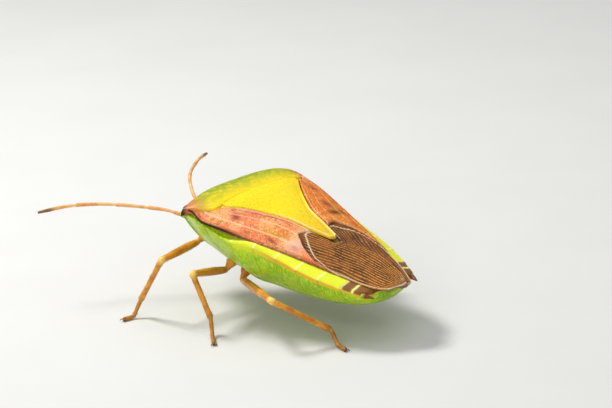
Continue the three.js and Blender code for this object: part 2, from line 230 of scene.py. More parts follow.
def breast_height(x: Array, y: Array) -> Array:
    """Height of the thorax's underside, as the solids have it: a rounded keel from side to side.

    Args:
        x: distances from the middle plane, of either sign.
        y: places along the body.

    Returns:
        Heights above the floor.
    """
    half = np.minimum(back_half(y) - 0.28, 4.92)
    share = np.clip(half / back_half(y), 0, 1)
    side = back_height(half, y) - mix(0.65, 0.5, share**6) - 0.48
    across = np.minimum(np.abs(x) / half, 1)
    return side - (side - belly_height(y)) * (1 - across**1.8) ** 0.9


LOW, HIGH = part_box("pronotum")
SHIELD_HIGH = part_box("scutellum")[1]
SHIFT = np.array([(LOW[0] + HIGH[0]) / 2, SHIELD_HIGH[1] - SHIELD_TIP * MM, 0.0])


def to_row(points: Array) -> Array:
    """Points of the body's own frame in millimetres, as metres of the row frame."""
    return np.asarray(points, float) * MM + SHIFT


def linear(colour: str) -> tuple[float, float, float, float]:
    """Turns an sRGB hex colour to linear RGBA, by the sRGB transfer curve.

    Args:
        colour: a hash sign and six hex digits.

    Returns:
        Red, green, blue and full opacity.
    """
    parts = [int(colour[i : i + 2], 16) / 255 for i in (1, 3, 5)]
    red, green, blue = (c / 12.92 if c <= 0.04045 else ((c + 0.055) / 1.055) ** 2.4 for c in parts)
    return red, green, blue, 1.0


@dataclass
class MeshData:
    """Points of a grid, with the values that its finish reads at each point."""

    points: Array
    masks: Mapping[str, Array]

    def __post_init__(self) -> None:
        """Spreads each mask, which may be a row, a column or a number, over the grid."""
        self.masks = {key: np.broadcast_to(mask, self.points.shape[:2]) for key, mask in self.masks.items()}


def write_object(name: str, points: Array, faces: Array, masks: Mapping[str, Array], merge: float) -> Piece:
    """Puts points and quads into a mesh object at the origin.

    Args:
        name: the piece's name.
        points: (n, 3) in millimetres of the body's frame.
        faces: (m, 4) point numbers.
        masks: one value per point for each named attribute.
        merge: distance in millimetres below which points are joined.

    Returns:
        The linked object, smooth shaded, facing outwards.
    """
    mesh = bpy.data.meshes.new(name)
    mesh.from_pydata(to_row(points).tolist(), [], faces.tolist())
    for key, values in masks.items():
        layer = mesh.attributes.new(key, "FLOAT", "POINT")
        layer.data.foreach_set("value", np.ascontiguousarray(values, np.float32).ravel())
    work = bmesh.new()
    work.from_mesh(mesh)
    bmesh.ops.remove_doubles(work, verts=work.verts, dist=merge * MM)
    bmesh.ops.dissolve_degenerate(work, edges=work.edges, dist=1e-9)
    bmesh.ops.recalc_face_normals(work, faces=work.faces)
    work.to_mesh(mesh)
    work.free()
    mesh.polygons.foreach_set("use_smooth", np.ones(len(mesh.polygons), bool))
    piece = bpy.data.objects.new(name, mesh)
    bpy.context.scene.collection.objects.link(piece)
    return piece


def grid_faces(rows: int, columns: int, around: bool) -> Array:
    """Numbers the quads of a grid of points, row after row.

    Args:
        rows: points along the grid.
        columns: points across it.
        around: whether the last column joins the first, which makes each row a ring.

    Returns:
        (n, 4) point numbers.
    """
    i, j = np.meshgrid(np.arange(rows - 1), np.arange(columns if around else columns - 1), indexing="ij")
    nxt = (j + 1) % columns
    quads = np.stack([i * columns + j, i * columns + nxt, (i + 1) * columns + nxt, (i + 1) * columns + j], -1)
    return quads.reshape(-1, 4)


def ring_object(name: str, data: MeshData) -> Piece:
    """A closed skin over rings; a copy of each end ring is drawn together into one point.

    Args:
        name: the piece's name.
        data: rings of points with their masks.

    Returns:
        The skin.
    """
    points = data.points
    ends = [np.broadcast_to(ring.mean(1, keepdims=True), ring.shape) for ring in (points[:1], points[-1:])]
    points = np.concatenate([ends[0], points, ends[1]])
    masks = {key: np.concatenate([mask[:1], mask, mask[-1:]]).ravel() for key, mask in data.masks.items()}
    return write_object(name, points.reshape(-1, 3), grid_faces(*points.shape[:2], around=True), masks,
                        RING_MERGE)


def shell_object(name: str, data: MeshData, depth: Array, lip: Array) -> Piece:
    """A closed plate: the grid's surface, its underside, and a rounded lip where the two meet.

    Args:
        name: the piece's name.
        data: the upper surface with its masks.
        depth: thickness downwards, one for all or one at each point.
        lip: 0 on the outline and 1 inside, by which the thickness grows as a quarter circle.

    Returns:
        The plate.
    """
    swell = np.sqrt(np.clip(1 - (1 - np.clip(lip, 0, 1)) ** 2, 0, 1))
    depth = np.broadcast_to(depth, data.points.shape[:2])
    down = np.zeros_like(data.points)
    down[..., 2] = 1
    middle = data.points - down * (depth / 2)[..., None]
    wall = down * (depth / 2 * swell)[..., None]
    rings = np.concatenate([middle + wall, (middle - wall)[:, ::-1]], axis=1)
    masks = {key: np.concatenate([mask, mask[:, ::-1]], axis=1).ravel() for key, mask in data.masks.items()}
    return write_object(name, rings.reshape(-1, 3), grid_faces(*rings.shape[:2], around=True), masks,
                        PLATE_MERGE)


def clustered(count: int) -> Array:
    """Parameters from 0 to 1 that crowd towards both ends, as half a cosine does."""
    return (1 - np.cos(np.linspace(0, np.pi, count))) / 2


def smoothed_path(corners: Sequence[Sequence[float]], radius: float, step: float = 0.04) -> Array:
    """Points every step along straight stretches, with corners rounded by a Gaussian average.

    Args:
        corners: corner points.
        radius: the Gaussian's standard deviation in millimetres.
        step: spacing of the points.

    Returns:
        (n, 3) points whose two ends stay where they are.
    """
    corners = np.array(corners, float)
    reach = arc_length(corners)
    at = np.linspace(0, reach[-1], max(int(reach[-1] / step), 8))
    line = np.stack([np.interp(at, reach, corners[:, k]) for k in range(3)], -1)
    width = max(int(3 * radius / step), 1)
    kernel = np.exp(-0.5 * (np.arange(-width, width + 1) * step / radius) ** 2)
    before = 2 * line[0] - line[width:0:-1]
    after = 2 * line[-1] - line[-2 : -width - 2 : -1]
    padded = np.concatenate([before, line, after])
    return np.stack([np.convolve(padded[:, k], kernel / kernel.sum(), "valid") for k in range(3)], -1)


def arc_length(path: Array) -> Array:
    """Distance along a path at each of its points."""
    return np.concatenate([[0], np.cumsum(np.linalg.norm(np.diff(path, axis=0), axis=1))])


def arc_share(path: Array) -> Array:
    """Distance along a path as a share of its length."""
    reach = arc_length(path)
    return reach / reach[-1]


def path_frames(path: Array) -> tuple[Array, Array, Array]:
    """Finds three directions at each point of a path, all square to each other.

    Args:
        path: (n, 3) points.

    Returns:
        Unit vectors along the path, upwards, and sideways. Upwards is one leaning direction with its part
        along the path taken off.
    """
    tangent = np.gradient(path, axis=0)
    tangent /= np.linalg.norm(tangent, axis=1, keepdims=True)
    lean = np.array([0.12, 0.08, 1.0])
    up = lean - tangent * (tangent @ lean)[:, None]
    up /= np.linalg.norm(up, axis=1, keepdims=True)
    return tangent, up, np.cross(tangent, up)


def tube(path: Array, radius: Array, sides: int = 20, flatten: float = 1.0) -> Array:
    """Rings of a tube: at each path point an ellipse across the path; both ends close as half spheres.

    Args:
        path: (n, 3) points.
        radius: radius at each point.
        sides: points in a ring.
        flatten: height of the ring over its width.

    Returns:
        (n, sides, 3) points.
    """
    _, up, side = path_frames(path)
    reach = arc_length(path)
    for distance, size in ((reach, radius[0]), (reach[-1] - reach, radius[-1])):
        inside = np.clip(distance / max(size, 1e-6), 0, 1)
        radius = radius * np.sqrt(np.clip(1 - (1 - inside) ** 2, 0, 1))
    angle = np.linspace(0, 2 * np.pi, sides, endpoint=False)
    ring = np.cos(angle)[None, :, None] * up[:, None] * flatten + np.sin(angle)[None, :, None] * side[:, None]
    return path[:, None] + ring * radius[:, None, None]


def add_node(tree: Tree, kind: str, links: Optional[Mapping] = None, **settings: object) -> bpy.types.Node:
    """Adds a node, sets its properties, and fills or links its inputs.

    Args:
        tree: the node tree.
        kind: the node's type name.
        links: value, socket or node for each input, by the input's name or number.
        settings: properties of the node.

    Returns:
        The node.
    """
    node = tree.nodes.new(kind)
    for key, value in settings.items():
        setattr(node, key, value)
    for key, value in (links or {}).items():
        socket = node.inputs[key]
        if isinstance(value, bpy.types.Node):
            value = value.outputs[0]
        if isinstance(value, Socket):
            tree.links.new(value, socket)
        else:
            socket.default_value = value
    return node


@dataclass(frozen=True)
class Pattern:
    """A pattern in space, sent through smooth steps; size is its real spacing in millimetres."""

    size: float
    steps: tuple[Span, ...] = ()

    def source(self, tree: Tree, place: Socket) -> Socket:
        """The pattern's values before the steps."""
        raise NotImplementedError

    def add(self, tree: Tree, place: Socket) -> Socket:
        """Adds the pattern's nodes to a material.

        Args:
            tree: the material's node tree.
            place: the point on the surface, in metres.

        Returns:
            The socket with the values.
        """
        value = self.source(tree, place)
        for low, high in self.steps:
            value = add_node(tree, "ShaderNodeMapRange", {"Value": value, "From Min": low, "From Max": high},
                             interpolation_type="SMOOTHSTEP").outputs[0]
        return value


@dataclass(frozen=True)
class Clouds(Pattern):
    """Noise whose blotches are about size across, or shorter along the body by the factor squeeze."""

    detail: float = 3.0
    squeeze: float = 1.0

    def source(self, tree: Tree, place: Socket) -> Socket:
        """Adds the noise.

        Args:
            tree: the material's node tree.
            place: the point on the surface, in metres.

        Returns:
            Noise around one half.
        """
        if self.squeeze != 1.0:
            place = add_node(tree, "ShaderNodeMapping", {"Vector": place, "Scale": (1, self.squeeze, 1)})
        values = {"Vector": place, "Scale": 1 / (self.size * MM), "Detail": self.detail, "Roughness": 0.55}
        return add_node(tree, "ShaderNodeTexNoise", values, noise_dimensions="3D").outputs[0]


@dataclass(frozen=True)
class Cells(Pattern):
    """Voronoi cells whose middles lie about size apart, shifted at random by the share scatter."""

    scatter: float = 0.75

    def source(self, tree: Tree, place: Socket) -> Socket:
        """Distance from the nearest cell's middle, in sizes."""
        values = {"Vector": place, "Scale": 1 / (self.size * MM), "Randomness": self.scatter}
        return add_node(tree, "ShaderNodeTexVoronoi", values).outputs["Distance"]


def pits(spacing: float, width: float) -> Cells:
    """Punctures: 1 within a quarter of the width from a cell's middle, 0 from the width on."""
    return Cells(spacing, ((width / spacing, 0.25 * width / spacing),))


@dataclass(frozen=True)
class Layer:
    """A colour laid over those before it, as far as its masks and patterns, times its share, go."""

    colour: str
    fields: tuple[Union[str, Pattern], ...]
    share: float = 1.0


class Fields:
    """Masks and patterns of one material; each is added once, however often it is used."""

    def __init__(self, tree: Tree) -> None:
        """Starts with nothing but the place on the surface.

        Args:
            tree: the material's node tree.
        """
        self.tree = tree
        self.place = add_node(tree, "ShaderNodeTexCoord").outputs["Object"]
        self.made: dict[Union[str, Pattern], Socket] = {}

    def of(self, field: Union[str, Pattern]) -> Socket:
        """Finds or adds a field.

        Args:
            field: a pattern, or the name of a mask that the piece's mesh carries.

        Returns:
            The socket with its values.
        """
        if field not in self.made:
            if isinstance(field, Pattern):
                self.made[field] = field.add(self.tree, self.place)
            else:
                mask = add_node(self.tree, "ShaderNodeAttribute", attribute_name=field)
                self.made[field] = mask.outputs["Fac"]
        return self.made[field]

    def lay(self, layer: Layer, below: Union[Socket, tuple]) -> Socket:
        """Lays a colour over another.

        Args:
            layer: the colour and the fields that say where it shows.
            below: the colour under it.

        Returns:
            The blended colour.
        """
        amount, *factors = [self.of(field) for field in layer.fields]
        if layer.share != 1.0:
            factors.append(layer.share)
        for factor in factors:
            amount = add_node(self.tree, "ShaderNodeMath", {0: amount, 1: factor}, operation="MULTIPLY")
        links = {0: amount, 6: below, 7: linear(layer.colour)}
        return add_node(self.tree, "ShaderNodeMix", links, data_type="RGBA").outputs[2]


@dataclass(frozen=True)
class Finish:
    """The skin of one part, built from its fields.

    The ground is two colours parted by clouds, and the layers go over it in order. The roughness grows by
    grain_gain times the grain. The relief stands relief_height millimetres proud, or is cut in below zero.
    """

    name: str
    clouds: Pattern
    ground: tuple[str, str]
    layers: tuple[Layer, ...] = ()
    roughness: float = 0.36
    grain: Optional[Pattern] = None
    grain_gain: float = 0.0
    relief: Optional[Pattern] = None
    relief_height: float = 0.0
    coat: float = 0.25
    gloss: float = 0.25
    skin_glow: float = 0.08

    def material(self) -> bpy.types.Material:
        """Builds the material, or finds it if it was built before.

        Returns:
            The material.
        """
        made = bpy.data.materials.get(self.name)
        if made:
            return made
        made = bpy.data.materials.new(self.name)
        made.use_nodes = True
        tree = made.node_tree
        tree.nodes.clear()
        fields = Fields(tree)
        colour = linear(self.ground[0])
        for layer in (Layer(self.ground[1], (self.clouds,)), *self.layers):
            colour = fields.lay(layer, colour)
        # Chitin is clear horn with an index near 1.45, and light goes some tenths of a millimetre into it.
        links = {
            "Base Color": colour, "Roughness": self.roughness, "IOR": 1.45, "Specular IOR Level": self.gloss,
            "Coat Weight": self.coat, "Coat Roughness": 0.12,
            "Subsurface Weight": self.skin_glow, "Subsurface Scale": 0.4 * MM,
        }
        if self.grain:
            factors = {0: fields.of(self.grain), 1: self.grain_gain, 2: self.roughness}
            links["Roughness"] = add_node(tree, "ShaderNodeMath", factors, operation="MULTIPLY_ADD")
        if self.relief:
            factors = {0: fields.of(self.relief), 1: self.relief_height * MM}
            height = add_node(tree, "ShaderNodeMath", factors, operation="MULTIPLY")
            factors = {"Strength": 1.0, "Distance": 1.0, "Height": height}
            links["Normal"] = add_node(tree, "ShaderNodeBump", factors)
        shader = add_node(tree, "ShaderNodeBsdfPrincipled", links)
        add_node(tree, "ShaderNodeOutputMaterial", {"Surface": shader})
        return made


# Pronotum, scutellum and head: thick grown chitin under a film of wax. It gives the eye a soft broad gloss,
# broken by pits 0.14 mm apart that hold a darker colour, and the olive front slope is clouded, not painted.
SHIELD_PITS = pits(0.14, 0.055)
SHIELD = Finish(
    name="Waxy yellow chitin, punctured",
    clouds=Clouds(2.6, ((0.4, 0.62),)),
    ground=("#FAD200", "#E0CA02"),
    layers=(
        Layer("#F2D61C", (Clouds(0.35, ((0.35, 0.7),), 5.0),), 0.35),
        Layer("#9A8206", (SHIELD_PITS,), 0.6),
        Layer("#F6D9A8", (pits(0.62, 0.1),), 0.5),
        Layer("#76920E", ("olive", Clouds(0.35, ((0.35, 0.7), (-0.9, 0.7)), 5.0))),
        Layer("#F4E29A", ("rim",)),
        Layer("#C65A1E", ("orange",)),
        Layer("#140806", ("dark",)),
    ),
    roughness=0.42, grain=SHIELD_PITS, grain_gain=0.15, relief=SHIELD_PITS, relief_height=-0.006, coat=0.12,
)

# Corium: leathery chitin, drier than the shield. It gives the eye salmon or amber mottling, wine-red stains,
# dark pits 0.13 mm apart, pale raised veins and hardly any gloss.
CORIUM_PITS, CORIUM_GRAIN = pits(0.13, 0.055), Clouds(0.2, (), 5.0)
CORIUM = Finish(
    name="Leathery salmon wing chitin",
    clouds=Clouds(1.4, ((0.44, 0.58),), 4.0),
    ground=("#E0764E", "#EBA063"),
    layers=(
        Layer("#E07A0C", ("amber",)),
        Layer("#B86E1E", (Clouds(0.55, ((0.5, 0.62),), 5.0),), 0.8),
        Layer("#CC8A14", ("gold",), 0.8),
        Layer("#F0BE98", (Clouds(0.2, ((0.52, 0.7),), 5.0),), 0.7),
        Layer("#70301E", (CORIUM_PITS,), 0.7),
        Layer("#F8CDB0", ("blush",)),
        Layer("#8A2A34", ("wine",)),
        Layer("#EFC79E", ("vein",)),
        Layer("#E08A7E", ("band",)),
        Layer("#2A120C", ("dark",)),
    ),
    roughness=0.36, grain=CORIUM_GRAIN, grain_gain=0.2, relief=CORIUM_PITS, relief_height=-0.008,
    coat=0.05, gloss=0.15,
)

# Membrane: a film of chitin a few hundredths of a millimetre thick, smoke brown. It gives the eye golden
# veins, broken here and there, over a dark ground with a faint wrinkle.
FILM_GRAIN = Clouds(0.14, (), 4.0)
MEMBRANE = Finish(
    name="Smoke-brown wing membrane",
    clouds=Clouds(0.9, ((0.35, 0.65),), 4.0),
    ground=("#42240C", "#744216"),
    layers=(
        Layer("#8A6238", ("pale",)),
        Layer("#F0A03A", ("vein", Clouds(0.14, ((0.25, 0.6),), 4.0))),
        Layer("#E6CDA6", ("band",)),
    ),
    roughness=0.3, grain=FILM_GRAIN, grain_gain=0.2, relief=FILM_GRAIN, relief_height=0.01, coat=0.08,
)

# Underside: thin green chitin with little wax. It gives the eye a satin skin with yellow strokes 0.3 mm
# apart, pale spots in pairs, a lime-yellow side rim with pale bars at its joints that are partly painted
# highlights, and darker seams. A pale band across the breast is painted sheen.
BELLY_PITS = pits(0.17, 0.06)
BELLY = Finish(
    name="Satin green chitin",
    clouds=Clouds(1.6, ((0.38, 0.64),)),
    ground=("#84BC08", "#A6D20E"),
    layers=(
        Layer("#D6D636", (Clouds(0.3, ((0.5, 0.6),), 2.0, 3.2),), 0.85),
        Layer("#4F8412", (BELLY_PITS,), 0.3),
        # A pale band across the breast: painted sheen.
        Layer("#D6E6A0", ("pale",)),
        Layer("#D6DC28", ("rim",)),
        # Pale spots in pairs on the underside, and pale bars at the rim's joints that are partly pale marks
        # and partly painted highlights.
        Layer("#F1EE9A", ("spot_and_glint",)),
        Layer("#E39A22", ("orange",)),
        Layer("#7A2E24", ("plum",)),
        Layer("#F1EE9A", ("spot_and_glint",), 0.6),
        Layer("#3C6A10", ("seam",)),
    ),
    roughness=0.3, grain=Clouds(0.22, (), 5.0), grain_gain=0.2, relief=BELLY_PITS, relief_height=-0.01,
    coat=0.1,
)


def limb_finish(name: str, ground: tuple[str, str], bright: str, dusk: str) -> Finish:
    """The finish of a limb, with freckles that are cut in and darker, and masks for joints and ends.

    Args:
        name: the material's name.
        ground: the two colours of the clouds.
        bright: the joints' colour.
        dusk: the colour of freckles and ends.

    Returns:
        The finish.
    """
    freckles = pits(0.12, 0.05)
    layers = (Layer(dusk, (freckles,), 0.25), Layer(bright, ("joint",)), Layer(dusk, ("dusk",)))
    return Finish(name, Clouds(0.8, ((0.4, 0.62),), 4.0), ground, layers, grain=freckles, grain_gain=0.1,
                  relief=freckles, relief_height=-0.008)


# Legs, claws, beak and feelers: thin tubes of chitin. They give the eye a satin skin of two-tone clouds, with
# freckles 0.12 mm apart, pale joints and dark ends.
LEG = limb_finish("Ochre chitin", ("#D9952E", "#BC7424"), "#F0CB6A", "#3A2416")
FEELER = limb_finish("Pale orange chitin", ("#E8B070", "#D89650"), "#F3C88E", "#4C3A2C")

# Compound eye: clear lens chitin over dark pigment. It gives the eye a wet gloss over a red-brown lattice.
# The facets are 0.05 mm across, coarser than the real 0.02 mm ones, so that they show.
FACETS = ((0.75, 0.2),)
EYE = Finish(
    name="Faceted eye chitin",
    clouds=Cells(0.05, FACETS, 0.12),
    ground=("#160605", "#4A140C"),
    layers=(Layer("#8A4A1E", ("rim",)),),
    roughness=0.0, grain=Cells(0.05, (*FACETS, (-1.0, 1.4)), 0.12), grain_gain=0.22,
    relief=Cells(0.05, FACETS, 0.12), relief_height=0.006, coat=0.6, skin_glow=0.0,
)

# Painted studio board: flat and matt, so that it gives the eye a plain ground and soft shadows.
BOARD = Finish(
    name="Matt studio board",
    clouds=Clouds(9.0, ((0.3, 0.7),)),
    ground=("#CBCAC6", "#CDCCC8"),
    roughness=0.7, coat=0.0, skin_glow=0.0,
)


def settled(piece: Piece, finish: Finish, replaced: Sequence[str] = ()) -> Piece:
    """Gives a piece its finish, slot and body, hides the solids it stands for, and reports it.

    Args:
        piece: the object.
        finish: the finish it is dressed in.
        replaced: names of the CAD nodes that it replaces.

    Returns:
        The same object.
    """
    piece.data.materials.append(finish.material())
    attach(piece, "root")
    if replaced:
        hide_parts(*replaced)
    LOG.info("%s: %d faces", piece.name, len(piece.data.polygons))
    return piece


@dataclass
class Bristles:
    """Fine stiff hairs on a limb, leaning towards its end."""

    count: int = 150
    length: float = 0.15
    root: float = 0.011
    lift: float = 0.62
    lean: float = 0.8
    sides: int = 4
    seed: int = 7
    rise: tuple[float, ...] = (0, 0, 0.4, 0.75, 1.0)
    taper: tuple[float, ...] = (0, 1, 0.75, 0.4, 0)

    def build(self, name: str, path: Array, radius: Array, span: Span) -> Piece:
        """Tapering hairs at seeded random places of the limb's surface, each on a curve bent forwards.

        Args:
            name: the piece's name.
            path: the limb's middle line.
            radius: the limb's radius at each point of it.
            span: first and last distance along the path that carries hairs.

        Returns:
            All the hairs as one piece.
        """
        draw = np.random.default_rng(self.seed)
        at = np.searchsorted(arc_length(path), draw.uniform(*span, self.count))
        angle = draw.uniform(0, 2 * np.pi, self.count)[:, None]
        size = self.length * draw.uniform(0.7, 1.2, self.count)[:, None]
        tangent, up, side = (axis[at] for axis in path_frames(path))
        out = np.cos(angle) * up + np.sin(angle) * side
        rise = np.array(self.rise)[None, :, None]
        width = np.array(self.taper)[None, :, None, None] * self.root
        base = path[at] + out * radius[at][:, None] * 0.96
        bend = rise * self.lift * out[:, None] + rise**1.3 * self.lean * tangent[:, None]
        line = base[:, None] + bend * size[:, None]
        turn = np.linspace(0, 2 * np.pi, self.sides, endpoint=False)[None, None, :, None]
        across = np.cross(out, tangent)[:, None, None]
        points = line[:, :, None] + width * (np.cos(turn) * across + np.sin(turn) * tangent[:, None, None])
        rings = len(self.rise)
        first = np.arange(self.count)[:, None, None] * rings * self.sides
        faces = first + grid_faces(rings, self.sides, around=True)[None]
        masks = {key: np.full(points.size // 3, tint) for key, tint in (("joint", 0.2), ("dusk", 0.45))}
        piece = write_object(name, points.reshape(-1, 3), faces.reshape(-1, 4), masks, RING_MERGE)
        return settled(piece, LEG)


@dataclass
class Pronotum:
    """The shield behind the head, with a pointed spine at each shoulder."""

    sag: float = 0.12
    depth: float = 0.42
    lip: float = 0.08
    across: int = 190
    along: int = 120
    sink: float = 0.02
    callus: Patch = Patch(1.35, -1.75, 0.75, 0.42, 0.05)
    groove: Bell = (-1.05, 0.2)
    groove_bow: float = 0.06
    groove_ends: Span = (4.2, 2.5)
    ridge: Bell = (0.08, 0.07)
    ridge_end: Span = (1.0, 0.75)
    hollow: Bell = (0.4, 0.22)
    hollow_end: Span = (1.0, 0.7)
    relief: float = 0.03
    olive: Span = (2.3, 0.1)
    olive_share: float = 0.95
    spine_across: Span = (0.78, 0.97)
    spine_along: Span = (0.55, 0.95)
    tip_across: Span = (0.93, 0.985)
    tip_along: Span = (0.6, 0.9)
    right_tip: float = 0.35

    def build(self) -> Piece:
        """A grid whose columns fan from collar to shoulders; swellings and a side ridge are added bells.

        Returns:
            The dressed plate.
        """
        u = (clustered(self.across) * 2 - 1)[None, :]
        v = clustered(self.along)[:, None]
        rear = rear_margin(SHOULDER * u)
        front = FRONT - self.sag * u**2
        half = mix(COLLAR, SHOULDER, v**WIDENING)
        x, y = u * half, mix(front, rear, v)
        edge = (1 - np.abs(u)) * half
        inside = np.minimum(edge * 0.8, np.minimum(y - front, rear - y))
        groove = bump(y - self.groove_bow * x**2, *self.groove) * smooth(*self.groove_ends, np.abs(x))
        ridge = bump(edge, *self.ridge) * smooth(*self.ridge_end, v)
        hollow = bump(edge, *self.hollow) * smooth(*self.hollow_end, v)
        z = back_height(x, y) - self.sink * (1 + bump(rear - y, 0, 0.12))
        z = z + self.callus.at(np.abs(x), y) + self.relief * (ridge - hollow - groove)
        tip = smooth(*self.tip_across, np.abs(u)) * smooth(*self.tip_along, v)
        masks = {
            "olive": self.olive_share * smooth(*self.olive, y),
            "rim": 0.4 * ridge * smooth(0.9, 0.6, v),
            "orange": 0.9 * smooth(*self.spine_across, np.abs(u)) * smooth(*self.spine_along, v),
            "dark": tip * np.where(u > 0, 1.0, self.right_tip),
        }
        data = MeshData(surface(x, y, z), masks)
        piece = shell_object("pronotum_shell", data, self.depth, inside / self.lip)
        return settled(piece, SHIELD, ["pronotum"])


@dataclass
class Scutellum:
    """The long triangular shield between the wings, with a pale raised edge."""

    depth: float = 0.4
    lip: float = 0.08
    across: int = 120
    along: int = 190
    overhang: Span = (0.13, 0.06)
    crown: float = 0.1
    sink: float = 0.02
    ridge: Bell = (0.13, 0.07)
    ridge_height: float = 0.035
    hollow: Bell = (0.32, 0.14)
    hollow_depth: float = 0.03
    edge_start: Span = (0.12, 0.45)
    tip_round: Span = (0.955, 1.0)
    tint: float = 0.2

    def build(self) -> Piece:
        """A grid between both edges; the middle swells as half a sine, the edge carries a fine ridge.

        Returns:
            The dressed plate.
        """
        u = (clustered(self.across) * 2 - 1)[None, :]
        v = clustered(self.along)[:, None]
        y = mix(rear_margin(0.0) - 0.05, SHIELD_TIP, v)
        half = (shield_half(y) + mix(*self.overhang, v)) * np.sqrt(1 - 0.96 * smooth(*self.tip_round, v) ** 2)
        x = u * half
        y = y + (rear_margin(x) - rear_margin(0.0)) * (1 - v) ** 3
        edge = (1 - np.abs(u)) * half
        swell = self.crown * np.cos(u * np.pi / 2) * np.sin(np.pi * np.sqrt(v)) * (1 - v)
        behind = smooth(*self.edge_start, v)
        ridge = bump(edge, *self.ridge) * behind
        z = back_height(x, y) + swell - self.sink
        z = z + self.ridge_height * ridge - self.hollow_depth * bump(edge, *self.hollow) * behind
        inside = np.minimum(edge, np.minimum(v, 1 - v) * 6.4)
        masks = {
            "olive": self.tint * smooth(0.45, 1.0, v),
            "rim": 0.85 * ridge * smooth(0.3, 0.6, v),
            "orange": self.tint * smooth(0.3, 0.9, v),
            "dark": 0.0,
        }
        depth = mix(1.0, 0.5, smooth(0.6, 1.0, v)) * self.depth
        piece = shell_object("scutellum_shell", MeshData(surface(x, y, z), masks), depth, inside / self.lip)
        return settled(piece, SHIELD, ["scutellum"])


